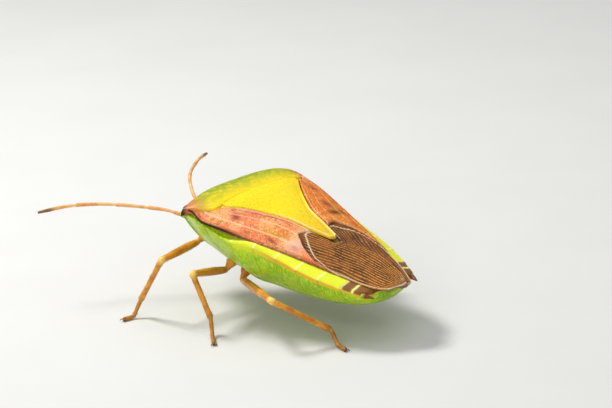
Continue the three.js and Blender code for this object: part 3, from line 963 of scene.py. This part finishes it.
@dataclass
class Forewing:
    """One folded forewing: leathery corium with its clavus, and the veined membrane behind it.

    Patches are stains in the wing's own x, counted from the middle plane. The right wing is amber from
    amber_from on, and the left one has a pink blush instead.
    """

    side: Side
    depth: float = 0.3
    lip: float = 0.14
    across: int = 170
    along: int = 240
    gap: float = 0.2
    root: Span = (3.5, 5.08)
    root_gap: float = 0.06
    sink: float = 0.03
    vein_height: float = 0.035
    cubitus_share: float = 0.28
    cubitus_start: Span = (2.2, 3.0)
    radius_share: float = 0.66
    radius_end: Span = (7.6, 6.6)
    crease: float = 0.05
    furrow_end: Span = (7.0, 6.4)
    furrow_depth: float = 0.05
    edge_ridge: Bell = (0.1, 0.07)
    edge_hollow: Bell = (0.34, 0.12)
    stains: tuple[Patch, ...] = (
        Patch(3.65, 3.1, 0.3, 0.3), Patch(3.45, 5.9, 0.16, 0.4), Patch(2.9, 7.4, 0.25, 0.35, 0.6),
    )
    right_stain: Patch = Patch(3.0, 4.9, 0.35, 0.5)
    right_mark: Patch = Patch(2.6, 5.9, 0.6, 0.3, 0.85)
    left_blush: Patch = Patch(2.8, 7.3, 0.6, 0.6, 0.65)
    amber_from: Span = (0.8, 3.0)
    film: float = 0.05
    film_end: float = 13.98
    film_sink: float = 0.16
    tuck: float = 0.35
    veins: int = 15
    vein_width: Span = (0.2, 0.34)

    def corium(self) -> Piece:
        """The leathery part: rows from the pronotum's edge to the suture, with raised veins as added bells.

        Returns:
            The dressed plate.
        """
        u, v = clustered(self.across)[None, :], clustered(self.along)[:, None]
        base = rear_margin(mix(*self.root, u)) + self.root_gap
        y = mix(base, suture(u), v)
        inner, outer, clavus = shield_half(y) + self.gap, costal_half(y), claval_furrow(y)
        x = mix(inner, outer, u)
        edge, end = outer - x, suture(u) - y
        furrow = bump(x, clavus, self.crease) * smooth(*self.furrow_end, y)
        cubitus = mix(clavus, outer, self.cubitus_share + 0.03 * np.sin(y))
        radius = mix(clavus, outer, self.radius_share)
        veins = 0.8 * bump(x, cubitus, 0.055) * smooth(*self.cubitus_start, y)
        veins = veins + bump(x, radius, 0.06) * smooth(*self.radius_end, y)
        claval = 0.7 * bump(x, clavus - 0.12, self.crease) + 0.8 * bump(x - inner, 0.1, self.crease)
        z = back_height(x, y) - self.sink + self.vein_height * veins - self.furrow_depth * furrow
        z = z + 0.02 * claval + 0.03 * bump(edge, *self.edge_ridge)
        z = z - self.furrow_depth * bump(edge, *self.edge_hollow)
        inside = np.minimum(np.minimum(edge * 1.4, (x - inner) * 1.2), np.minimum(end, y - base))
        left = float(self.side is Side.LEFT)
        right = 1 - left
        band = smooth(0.0, 0.1, x - inner) * smooth(0.02, 0.14, clavus - x) * smooth(7, 6, y)
        gold = bump(x, 5.5 - 0.45 * y, 0.5) * bump(y, 5.7, 1.0)
        gold = gold + 0.5 * smooth(0.55, 0.9, u) * bump(y, 7.6, 0.9)
        wine = sum(stain.at(x, y) for stain in self.stains) + right * self.right_stain.at(x, y)
        dark = bump(edge, 0.0, 0.07) * mix(0.55, 1.0, smooth(5.5, 3.0, y)) + 0.3 * furrow
        masks = {
            "vein": np.clip(0.65 * veins + 0.7 * claval + bump(end, 0.05, 0.05), 0, 1) * (0.35 + 0.65 * left),
            "band": 0.55 * band * left,
            "gold": np.clip(gold, 0, 1),
            "blush": left * self.left_blush.at(x, y),
            "wine": np.clip(0.8 * wine + 0.5 * bump(edge, 0.16, 0.06), 0, 1),
            "amber": 0.9 * right * smooth(*self.amber_from, y) + 0.5 * left * bump(edge, 0.2, 0.06),
            "dark": np.clip(dark + right * self.right_mark.at(x, y), 0, 1),
        }
        depth = mix(0.6, 1.0, smooth(0.0, 0.8, edge)) * self.depth
        data = MeshData(surface(self.side.value * x, y, z), masks)
        piece = shell_object(f"corium_{self.side.label}", data, depth, inside / self.lip)
        return settled(piece, CORIUM, [f"forewing_{self.side.label}"])

    def membrane(self) -> Piece:
        """The film: rows from under the corium's end to the rounded tip, with fine raised veins along it.

        A vein is a bell in the middle of each lane of a coordinate that counts lanes across the wing and
        waves by two sines. The right film lies under the left one, and its veins are dimmed there as painted
        shade.

        Returns:
            The dressed film.
        """
        u, v = clustered(self.across)[None, :], np.linspace(0, 1, self.along)[:, None]
        # The right film lies in the shade of the left one: its veins are dimmed as painted shade.
        below, painted_shade = (0.0, 0.0) if self.side is Side.LEFT else (0.14, 0.55)
        start = suture(u) - self.tuck
        finish = self.film_end - 0.9 * np.clip(u - 0.35, 0, 1) ** 2 - 0.25 * np.clip(0.3 - u, 0, 1)
        y = mix(start, finish, v)
        outer = costal_half(y)
        inner = mix(shield_half(y) - 0.25, np.minimum(overlap_edge(y), -0.08), smooth(7.6, 8.15, y))
        x = mix(inner, outer - 0.03, u)
        covered = smooth(0.3, 0.0, x - shield_half(y)) * smooth(8.7, 8.3, y)
        z = back_height(x, y) - self.film_sink - below * smooth(2.2, 1.5, x) - 0.26 * covered
        lane = (x - vein_lane(y)) / (outer - vein_lane(y)) * self.veins
        phase = (lane + 0.22 * np.sin(1.3 * y + 0.5 * lane) + 0.12 * np.sin(3.1 * y - 0.9 * lane)) % 1.0
        width = mix(*self.vein_width, smooth(0.3, 1.0, v))
        vein = bump(np.abs(phase - 0.5) * 2, 0, width) * smooth(0.03, 0.08, v) * smooth(0.99, 0.93, v)
        basal = bump(y - start, 0.62, 0.06)
        border = bump((1 - u) * (outer - inner), 0.08, 0.05) + bump(v, 0.985, 0.01)
        z = z + self.vein_height * vein + 0.03 * (basal + border)
        masks = {
            # On the right film the veins are dimmed by painted shade.
            "vein": vein * (1 - painted_shade),
            "band": np.clip(0.75 * basal + 0.6 * border, 0, 1),
            "pale": 0.5 * smooth(0.9, 1.0, v),
        }
        inside = np.minimum(np.minimum(u, 1 - u) * 3.0, np.minimum(v, 1 - v) * 5.0)
        data = MeshData(surface(self.side.value * x, y, z), masks)
        piece = shell_object(f"membrane_{self.side.label}", data, self.film, inside / self.film)
        return settled(piece, MEMBRANE)

    def build(self) -> None:
        """Makes both parts of the wing."""
        self.corium()
        self.membrane()


@dataclass
class Underside:
    """Thorax and abdomen below the plates, as one skin with its segments, side rim and tail spines.

    Each ring has four stretches: the underside, the right rim, the bed under the wings and the left rim.
    """

    rows: int = 420
    below: int = 150
    rim: int = 16
    bed: int = 26
    start: float = -2.6
    end: float = 12.95
    tail: float = 12.2
    waist: Span = (2.9, 4.1)
    hips: Span = (2.4, 4.8)
    rim_start: Span = (2.8, 5.4)
    bed_drop: float = 0.42
    pinch: Patch = Patch(0.0, 6.2, 1.0, 2.5, 0.42)
    saw_depth: float = 0.05
    spot_across: Bell = (0.72, 0.028)
    spot_apart: float = 0.16
    last_spot: Bell = (12.0, 0.07)

    def spread(self, below: Array, rim: Array = 0.0, bed: Array = 0.0) -> Array:
        """Puts a mask together from the stretches of the rings.

        Args:
            below: values on the underside.
            rim: values on both rims.
            bed: values under the wings.

        Returns:
            One value from 0 to 1 at each point.
        """
        stretches = ((below, self.below), (rim, self.rim - 1), (bed, self.bed), (rim, self.rim - 1))
        parts = [np.broadcast_to(values, (self.rows, width)) for values, width in stretches]
        return np.clip(np.concatenate(parts, 1), 0, 1)

    def build(self) -> None:
        """Rings across the body: belly curve, side rim, and the bed under the wings."""
        y = mix(self.start, self.end, np.linspace(0, 1, self.rows))[:, None]
        tail, abdomen = smooth(self.tail, self.end, y), smooth(*self.waist, y)
        thorax_half = np.minimum(back_half(y) - 0.22, 4.98)
        abdomen_half = body_half(y) - self.pinch.at(0.0, y)
        half = mix(thorax_half, abdomen_half, smooth(*self.hips, y))
        half = half * np.sqrt(np.clip(1 - 0.75 * tail**2, 0.05, 1))
        for cut in SEGMENTS[1:]:
            tooth = smooth(cut - 0.5, cut - 0.04, y) * smooth(cut + 0.05, cut - 0.02, y)
            half = half + self.saw_depth * tooth
        bed_edge = back_height(half, y) - 0.5
        inner = np.minimum(costal_half(y) - 0.25, half - 0.1)
        lift = np.clip((half - inner - 0.1) / 0.3, 0, 1) * smooth(*self.rim_start, y)
        side = mix(bed_edge - 0.08, margin_height(y) - 0.08, lift)
        belly = mix(belly_height(y), side, 0.55 * tail**2)

        across = np.cos(np.linspace(0, np.pi, self.below))[None, :]
        out = np.abs(across)
        drop = (1 - out ** mix(1.8, 1.9, abdomen)) ** mix(0.9, 0.6, abdomen)
        groove = sum(bump(y, cut, 0.035) for cut in SEGMENTS)
        sutures = bump(y - (0.15 - 0.25 * out), 0, 0.06) + bump(y - (2.45 - 0.9 * out), 0, 0.06)
        thoracic = sutures * smooth(0.15, 0.3, out) * (1 - abdomen)
        z_below = side - (side - belly) * drop + (0.025 * groove + 0.05 * thoracic) * drop

        share = np.linspace(0, 1, self.rim)[None, :]
        rim_x = mix(half, inner, share)
        rim_z = mix(side, mix(bed_edge, margin_height(y) + 0.1, lift), smooth(0, 0.2, share))
        rim_z = rim_z + lift * (0.03 * np.sin(np.pi * share) ** 0.7 + 0.13 * smooth(0.25, 0.8, share))
        bed_x = np.linspace(-1, 1, self.bed)[None, :] * (inner - 0.03)
        bed_z = back_height(bed_x, y) - self.bed_drop
        x = np.concatenate([half * across, -rim_x[:, 1:], bed_x, rim_x[:, :0:-1]], 1)
        z = np.concatenate([z_below, rim_z[:, 1:], bed_z, rim_z[:, :0:-1]], 1)

        flank = smooth(0.985, 1.0, out)
        # Pale bars on the rim at the segment joints: partly pale marks, partly painted highlights where the
        # joints catch the light.
        joint = sum(bump(y, cut, 0.05) for cut in SEGMENTS) * abdomen
        middles = [(cut + following) / 2 for cut, following in zip(SEGMENTS, (*SEGMENTS[1:], 12.6))]
        pairs = sum(bump(y, middle + offset, 0.06) for middle in middles
                    for offset in (-self.spot_apart, self.spot_apart))
        # A pale band across the breast, where the light catches it: painted sheen, not a colour of the
        # chitin.
        sheen_stripe = bump(y - (1.2 - 0.8 * out), 0, 0.28) * smooth(0.45, 0.75, out)
        last, last_spot = smooth(11.2, 11.5, y), bump(y, *self.last_spot)
        masks = {
            "rim": self.spread(flank * abdomen, smooth(3.2, 4.6, y)) * (1 - 0.7 * last),
            "pale": self.spread(0.7 * sheen_stripe * (1 - abdomen)),
            "spot_and_glint": self.spread(pairs * bump(out, *self.spot_across), 0.8 * (joint + last_spot)),
            "orange": self.spread(0.75 * flank * smooth(4.5, 7.0, y)),
            "plum": self.spread(0.0, 0.9 * last * (1 - last_spot), 0.8),
            "seam": self.spread(0.25 * groove + 0.6 * thoracic),
        }
        piece = ring_object("body_underside", MeshData(surface(x, y, z), masks))
        settled(piece, BELLY, ["thorax", "abdomen"])
        for corner in Side:
            self.tail_spine(corner)

    def tail_spine(self, side: Side) -> Piece:
        """A tapered spine at the corner of the last segment, dark towards its tip.

        Args:
            side: the side that it stands on.

        Returns:
            The dressed spine.
        """
        knots = ((2.42, 11.9, -0.2), (2.28, 12.6, -0.1), (2.05, 13.2, 0.0))
        path = smoothed_path([[side.value * x, y, margin_height(y) + up] for x, y, up in knots], 0.15, 0.02)
        share = arc_share(path)
        rings = tube(path, 0.27 * (1 - share) ** 0.8 + 0.03, 20, 0.8)
        masks = {
            "pale": 0.0, "spot_and_glint": 0.0, "orange": 0.0,
            "rim": smooth(0.45, 0.2, share)[:, None],
            "plum": smooth(0.35, 0.6, share)[:, None],
            "seam": 0.6 * smooth(0.8, 0.95, share)[:, None],
        }
        return settled(ring_object(f"tail_spine_{side.label}", MeshData(rings, masks)), BELLY)


@dataclass
class Head:
    """A short blunt head: central lobe, side plates, eyes, simple eyes, feeler sockets, folded beak."""

    rows: int = 150
    around: int = 160
    front: float = -4.95
    back: float = -2.45
    eye: Point = (1.33, -3.42, 5.8)
    eye_radius: float = 0.45
    socket: Point = (1.0, -4.42, 5.32)
    simple_eye: Point = (0.62, -3.12, 6.33)
    side_swell: Patch = Patch(0.85, -3.35, 0.25, 0.3, 0.04)
    lobe: Bell = (0.0, 0.26)
    lobe_height: float = 0.06
    furrow_depth: float = 0.05
    cheek: Bell = (0.42, 0.12)
    cheek_depth: float = 0.07
    eye_bed: float = 0.12
    socket_height: float = 0.16
    socket_width: float = 0.26

    @staticmethod
    def distance(x: Array, y: Array, z: Array, centre: Point) -> Array:
        """Distance of points from a centre or from its mirror image on the other side."""
        return np.sqrt((np.abs(x) - centre[0]) ** 2 + (y - centre[1]) ** 2 + (z - centre[2]) ** 2)

    def build(self) -> None:
        """Rings across the head; lobe, furrows and eye sockets are added as bells along each ring."""
        y = mix(self.front, self.back, np.linspace(0, 1, self.rows)[:, None] ** 1.6)
        half, top, foot = head_half(y), head_top(y), head_foot(y)
        angle = np.linspace(0, 2 * np.pi, self.around, endpoint=False)[None, :]
        c, s = np.cos(angle), np.sin(angle)
        x = half * np.sign(c) * np.abs(c) ** 0.85
        z = (top + foot) / 2 + (top - foot) / 2 * np.sign(s) * np.abs(s) ** 0.9
        upper = smooth(0.1, 0.5, s)
        lobe = self.lobe_height * bump(x, *self.lobe) * smooth(-3.3, -3.8, y)
        furrow = bump(np.abs(x), mix(0.36, 0.2, smooth(-3.4, -4.9, y)), 0.05) * smooth(-3.5, -3.75, y)
        cheek = smooth(-0.1, -0.5, s) * bump(np.abs(x), *self.cheek) * smooth(-3.2, -3.8, y)
        z = z + upper * (lobe - self.furrow_depth * furrow) + upper * self.side_swell.at(np.abs(x), y)
        z = z - self.cheek_depth * cheek
        away = self.distance(x, y, z, self.eye)
        x = x - np.sign(x) * self.eye_bed * bump(away, 0, self.eye_radius * 1.1)
        collar = bump(self.distance(x, y, z, self.socket), 0, self.socket_width)
        x = x + np.sign(x) * self.socket_height * collar
        masks = {
            "olive": np.clip(0.5 + 0.4 * smooth(0.2, -0.4, s) + 0.3 * bump(away, self.eye_radius, 0.2), 0, 1),
            "rim": 0.3 * cheek,
            "orange": 0.35 * upper * bump(np.abs(x), half, 0.12),
            "dark": np.clip(0.6 * furrow * upper + 0.4 * bump(away, self.eye_radius * 1.05, 0.06), 0, 1),
        }
        settled(ring_object("head_skin", MeshData(surface(x, y, z), masks)), SHIELD, ["head"])
        for side in Side:
            self.eyeball(side)
            self.ocellus(side)
        self.beak()

    @staticmethod
    def ball(centre: Point, radii: Point, rows: int = 60, around: int = 72) -> Array:
        """An ellipsoid as rings along its Y axis.

        Args:
            centre: its middle.
            radii: half its size along each axis.
            rows: number of rings.
            around: points in a ring.

        Returns:
            (rows, around, 3) points.
        """
        lat = np.linspace(0.02, np.pi - 0.02, rows)[:, None]
        lon = np.linspace(0, 2 * np.pi, around, endpoint=False)[None, :]
        unit = surface(np.sin(lat) * np.cos(lon), -np.cos(lat), np.sin(lat) * np.sin(lon))
        return unit * np.array(radii) + np.array(centre)

    def eyeball(self, side: Side) -> Piece:
        """A bulging eye, slightly shorter than it is high, with a paler rim where it meets the head.

        Args:
            side: the side of the head.

        Returns:
            The dressed eye.
        """
        x, y, z = self.eye
        wide, long = 0.98 * self.eye_radius, 0.92 * self.eye_radius
        points = self.ball((side.value * x, y, z), (wide, long, wide))
        inward = (x - side.value * points[..., 0]) / self.eye_radius
        piece = ring_object(f"eyeball_{side.label}", MeshData(points, {"rim": smooth(0.25, 0.6, inward)}))
        return settled(piece, EYE, [f"eye_{side.label}"])

    def ocellus(self, side: Side) -> Piece:
        """A small simple eye on the crown.

        Args:
            side: the side of the head.

        Returns:
            The dressed simple eye.
        """
        x, y, z = self.simple_eye
        points = self.ball((side.value * x, y, z), (0.1, 0.1, 0.09), 16, 20)
        return settled(ring_object(f"ocellus_{side.label}", MeshData(points, {"rim": 0.8})), EYE)

    def beak(self) -> Piece:
        """The beak: four segments folded back along the breast, thinner at each joint.

        Returns:
            The dressed beak.
        """
        knots = ((-4.5, 5.2), (-4.68, 4.72), (-4.3, 4.5), (-2.7, 4.36), (-1.3, 3.47), (-0.2, 2.72))
        path = smoothed_path([[0, y, z] for y, z in knots], 0.18)
        share = arc_share(path)
        joints = sum(bump(share, cut, 0.012) for cut in (0.26, 0.52, 0.77))
        rings = tube(path, mix(0.2, 0.12, share) * (1 - 0.25 * joints), 24, 0.9)
        masks = {"joint": 0.8 * joints[:, None], "dusk": smooth(0.86, 0.96, share)[:, None]}
        return settled(ring_object("beak_skin", MeshData(rings, masks)), LEG, ["beak"])


@dataclass
class Feeler:
    """An antenna of five segments on a socket of the head."""

    side: Side
    path: tuple[Point, ...]
    radius: float = 0.118
    joints: tuple[float, ...] = (0.0, 0.075, 0.25, 0.47, 0.74, 1.0)

    def build(self) -> None:
        """A tube along the path, each segment swelling to its end and pinched at the joint."""
        knots = np.array(self.path, float)
        at = arc_length(knots)
        fine = np.linspace(0, at[-1], 60)
        soft = np.stack([stations(*zip(at, knots[:, k]))(fine) for k in range(3)], -1)
        path = smoothed_path(soft, 0.25, 0.03)
        share = arc_share(path)
        inner_joints = self.joints[1:-1]
        pinch = sum(bump(share, cut, 0.006) for cut in inner_joints)
        segment = np.clip(np.searchsorted(self.joints, share, side="right"), 1, len(self.joints) - 1)
        start, stop = (np.array(self.joints)[segment + k] for k in (-1, 0))
        within = np.clip((share - start) / (stop - start), 0, 1)
        swell = mix(0.88, 1.12, within) * mix(1, 0.7, smooth(0.9, 1.0, share))
        swell = swell * mix(1.25, 1, smooth(0, 0.06, share))
        rings = tube(path, self.radius * swell * (1 - 0.35 * pinch), 24)
        ring = np.clip(sum(bump(share, cut + 0.012, 0.009) for cut in inner_joints), 0, 1)
        masks = {"joint": 0.7 * ring[:, None], "dusk": 0.8 * smooth(0.86, 0.93, share)[:, None]}
        piece = ring_object(f"feeler_{self.side.label}", MeshData(rings, masks))
        settled(piece, FEELER, [f"antenna_{self.side.label}"])


@dataclass
class Leg:
    """One leg: coxa and thigh, shank, three-part foot, and two claws."""

    name: str
    root: tuple[float, float]
    knee: Point
    ankle: Point
    toe: tuple[float, float]
    foot_radius: float = 0.14
    coxa_radius: float = 0.4
    thigh_radius: float = 0.2
    thigh_swell: float = 0.07
    shank_radius: float = 0.185
    knee_swell: float = 0.045
    end_swell: float = 0.03
    sunk: float = 0.35
    coxa: float = 0.6
    heel_share: float = 0.42

    def corners(self) -> Array:
        """Finds the leg's bends.

        Returns:
            Root inside the breast, hinge below it, knee, ankle, heel and toe.
        """
        rx, ry = self.root
        step = 0.05
        slope_x = (breast_height(rx + step, ry) - breast_height(rx - step, ry)) / (2 * step)
        slope_y = (breast_height(rx, ry + step) - breast_height(rx, ry - step)) / (2 * step)
        out = np.array([float(slope_x), float(slope_y), -1.0])
        out /= np.linalg.norm(out)
        point = np.array([rx, ry, float(breast_height(rx, ry))])
        ankle, toe = np.array(self.ankle), np.array([*self.toe, self.foot_radius])
        heel = mix(ankle, toe, self.heel_share)
        heel[2] = self.foot_radius + 0.01
        return np.array([point - out * self.sunk, point + out * self.coxa, self.knee, ankle, heel, toe])

    def thickness(self, reach: Array, bends: Array) -> Array:
        """Works out the radius: half a sine on the thigh, even on the shank, beaded on the foot.

        A bell is taken off it at each joint.

        Args:
            reach: distances along the leg.
            bends: distances of hinge, knee, ankle, heel and toe.

        Returns:
            The radius at each distance.
        """
        hinge, knee, ankle, _, end = bends
        thigh = np.clip((reach - hinge) / (knee - hinge), 0, 1)
        shank = np.clip((reach - knee) / (ankle - knee), 0, 1)
        foot = np.clip((reach - ankle) / (end - ankle), 0, 1)
        radius = mix(self.coxa_radius, self.thigh_radius, smooth(hinge - 0.75, hinge - 0.1, reach))
        swell = self.thigh_swell * np.sin(np.pi * thigh**0.8) + self.end_swell * smooth(0.9, 1, thigh)
        radius = mix(radius, self.thigh_radius + swell, smooth(hinge - 0.1, hinge + 0.15, reach))
        swell = self.knee_swell * bump(shank, 0, 0.1) + self.end_swell * smooth(0.8, 1.0, shank)
        radius = np.where(reach > knee, self.shank_radius + swell, radius)
        beads = self.foot_radius * (0.96 + 0.06 * np.cos(2 * np.pi * (foot * 3 - 0.55)))
        radius = mix(radius, beads, smooth(ankle - 0.05, ankle + 0.12, reach))
        pinches = ((hinge - 0.02, 0.05, 0.22), (hinge + 0.3, 0.04, 0.16), (knee + 0.24, 0.05, 0.2),
                   (ankle - 0.02, 0.05, 0.28))
        for at, width, depth in pinches:
            radius = radius * (1 - depth * bump(reach, at, width))
        return radius

    def build(self) -> None:
        """A tube along the smoothed corners, then the hairs and both claws."""
        corners = self.corners()
        bends = arc_length(corners)[1:]
        hinge, knee, ankle, _, end = bends
        path = smoothed_path(corners, 0.13, 0.03)
        reach = arc_share(path) * end
        radius = self.thickness(reach, bends)
        pale = ((knee, 0.2, 0.75), (hinge + 0.1, 0.18, 0.45), (ankle, 0.15, 0.4))
        joint = sum(share * bump(reach, at, width) for at, width, share in pale)
        dusk = 0.5 * smooth(end - 0.3, end, reach) + 0.35 * smooth(ankle - 0.5, ankle, reach)
        masks = {"joint": np.clip(joint, 0, 1)[:, None], "dusk": np.clip(dusk, 0, 1)[:, None]}
        solids = [f"leg_{self.name}_{part}" for part in ("femur", "tibia", "tarsus")]
        piece = ring_object(f"leg_{self.name}_skin", MeshData(tube(path, radius, 28), masks))
        settled(piece, LEG, solids)
        Bristles().build(f"leg_{self.name}_bristles", path, radius, (hinge + 0.8, end - 0.25))
        for side in Side:
            self.claw(side, *corners[4:])

    def claw(self, side: Side, heel: Array, toe: Array) -> Piece:
        """A curved claw at the foot's end, splayed to one side.

        Args:
            side: the side that it splays to.
            heel: where the foot starts.
            toe: where it ends.

        Returns:
            The dressed claw.
        """
        forward = (toe - heel) * [1, 1, 0]
        forward /= np.linalg.norm(forward)
        across = np.array([-forward[1], forward[0], 0]) * side.value
        base = toe + across * 0.05 - forward * 0.1
        path = smoothed_path([base, base + forward * 0.14 + across * 0.09 + [0, 0, 0.03],
                              base + forward * 0.22 + across * 0.14 + [0, 0, -0.09]], 0.05, 0.012)
        share = arc_share(path)
        masks = {"joint": 0.0, "dusk": smooth(0.1, 0.7, share)[:, None]}
        data = MeshData(tube(path, mix(0.05, 0.012, share), 14), masks)
        return settled(ring_object(f"claw_{self.name}_{side.label}", data), LEG)


LEGS = (
    Leg("left_front", (2.2, -1.15), (6.25, -1.2, 4.2), (6.3, -3.28, 1.12), (7.75, -3.55)),
    Leg("left_middle", (2.3, 1.2), (6.75, 2.05, 4.05), (6.1, 2.8, 1.05), (7.75, 4.6)),
    Leg("left_hind", (2.2, 2.38), (6.1, 8.2, 3.25), (3.2, 10.5, 0.95), (3.75, 12.2)),
    Leg("right_front", (-2.2, -1.15), (-5.9, -1.9, 4.5), (-6.3, -4.1, 1.1), (-7.5, -5.35)),
    Leg("right_middle", (-2.3, 1.2), (-6.4, 1.2, 4.3), (-6.7, 2.6, 1.05), (-7.9, 4.0)),
    Leg("right_hind", (-2.2, 2.38), (-5.9, 5.6, 3.9), (-5.3, 6.6, 1.0), (-6.6, 7.0)),
)
FEELERS = (
    Feeler(Side.LEFT, ((0.98, -4.3, 5.3), (1.18, -4.8, 5.42), (1.45, -5.25, 5.6), (3.75, -8.1, 6.1),
                       (5.7, -9.9, 6.2), (7.7, -11, 6.05))),
    Feeler(Side.RIGHT, ((-0.98, -4.3, 5.3), (-1.18, -4.85, 5.42), (-1.3, -5.5, 5.85), (-3.4, -7.85, 6.28),
                        (-6.3, -9.9, 6.3), (-8.4, -11.1, 6.05))),
)


@dataclass(frozen=True)
class Lamp:
    """A square soft box, with its place and width in millimetres."""

    name: str
    place: Point
    watts: float
    width: float


@dataclass
class Studio:
    """Pale floor, soft lamps, and the camera of the photograph."""

    azimuth: float = 133.498
    elevation: float = 17.973
    roll: float = -2.935
    distance: float = 220.0
    pivot: Point = (0.0, 4.0, 4.5)
    pivot_pixel: tuple[float, float] = (286.824, 244.899)
    pixels_per_mm: float = 15.56
    frame_pixels: tuple[int, int] = (612, 408)
    sensor: float = 36.0
    lamp_aim: Point = (0.0, 4.0, 4.0)
    lamps: tuple[Lamp, ...] = (
        Lamp("key", (15, -75, 125), 0.2, 40),
        Lamp("fill", (130, 60, 70), 0.11, 110),
        Lamp("top", (-30, 40, 150), 0.03, 120),
    )
    clip: Span = (10.0, 10000.0)
    floor_reach: float = 600.0
    floor_drop: float = 0.01

    def camera(self) -> Piece:
        """Turns the view axis so that it passes through the picture's middle, with the pivot at its pixel.

        Returns:
            The scene's camera.
        """
        a, e, r = np.radians([self.azimuth, self.elevation, self.roll])
        back = np.array([np.sin(a) * np.cos(e), -np.cos(a) * np.cos(e), np.sin(e)])
        level = np.array([np.cos(a), np.sin(a), 0.0])
        right = np.cos(r) * level + np.sin(r) * np.cross(back, level)
        up = np.cross(back, right)
        place = np.array(self.pivot) + back * self.distance
        focal = self.pixels_per_mm * self.distance
        width, height = self.frame_pixels
        aim = -back + right * ((width / 2 - self.pivot_pixel[0]) / focal)
        aim = aim + up * ((self.pivot_pixel[1] - height / 2) / focal)
        new_back = -aim / np.linalg.norm(aim)
        new_right = right - new_back * (right @ new_back)
        new_right /= np.linalg.norm(new_right)
        turn = np.stack([new_right, np.cross(new_back, new_right), new_back], 1)
        data = bpy.data.cameras.new("camera")
        data.sensor_width = self.sensor
        data.lens = focal * self.sensor / width
        data.clip_start, data.clip_end = (distance * MM for distance in self.clip)
        camera = bpy.data.objects.new("camera", data)
        matrix = Matrix(turn.tolist()).to_4x4()
        matrix.translation = Vector(to_row(place))
        camera.matrix_world = matrix
        bpy.context.scene.collection.objects.link(camera)
        bpy.context.scene.camera = camera
        return camera

    def light(self, lamp: Lamp) -> Piece:
        """Hangs a lamp, aimed at the insect.

        Args:
            lamp: its place, power and width.

        Returns:
            The lamp object.
        """
        data = bpy.data.lights.new(lamp.name, "AREA")
        data.energy, data.size = lamp.watts, lamp.width * MM
        hung = bpy.data.objects.new(lamp.name, data)
        hung.location = to_row(lamp.place)
        aim = Vector(to_row(self.lamp_aim)) - hung.location
        hung.rotation_euler = aim.to_track_quat("-Z", "Y").to_euler()
        bpy.context.scene.collection.objects.link(hung)
        return hung

    def floor(self) -> Piece:
        """Lays the board, a hair below the feet.

        Returns:
            The floor.
        """
        mesh = bpy.data.meshes.new("floor")
        reach = self.floor_reach * MM
        mesh.from_pydata([(-reach, -reach, 0), (reach, -reach, 0), (reach, reach, 0), (-reach, reach, 0)],
                         [], [(0, 1, 2, 3)])
        mesh.materials.append(BOARD.material())
        floor = bpy.data.objects.new("floor", mesh)
        floor.location.z = -self.floor_drop * MM
        bpy.context.scene.collection.objects.link(floor)
        return floor

    def surroundings(self) -> None:
        """Lights the room: a white ceiling that darkens towards the walls, by the height of the direction."""
        world = bpy.data.worlds.new("studio")
        world.use_nodes = True
        tree = world.node_tree
        tree.nodes.clear()
        direction = add_node(tree, "ShaderNodeTexCoord").outputs["Generated"]
        way = add_node(tree, "ShaderNodeSeparateXYZ", {"Vector": direction})
        levels = {"Value": way.outputs["Z"], "From Min": 0.05, "From Max": 0.7, "To Min": 0.1, "To Max": 0.62}
        glow = add_node(tree, "ShaderNodeMapRange", levels, interpolation_type="SMOOTHSTEP")
        sky = add_node(tree, "ShaderNodeBackground", {"Color": linear("#F1F4F8"), "Strength": glow})
        add_node(tree, "ShaderNodeOutputWorld", {"Surface": sky})
        bpy.context.scene.world = world

    def build(self) -> None:
        """Sets floor, surroundings, lamps and camera."""
        self.floor()
        self.surroundings()
        for lamp in self.lamps:
            self.light(lamp)
        bpy.context.scene.view_settings.view_transform = "Standard"
        self.camera()


def main() -> None:
    """Builds the studio, then the insect piece by piece."""
    logging.basicConfig(level=logging.INFO, format="%(message)s")
    Studio().build()
    Underside().build()
    Pronotum().build()
    Scutellum().build()
    for side in Side:
        Forewing(side).build()
    Head().build()
    for part in (*FEELERS, *LEGS):
        part.build()


if __name__ == "__main__":
    main()
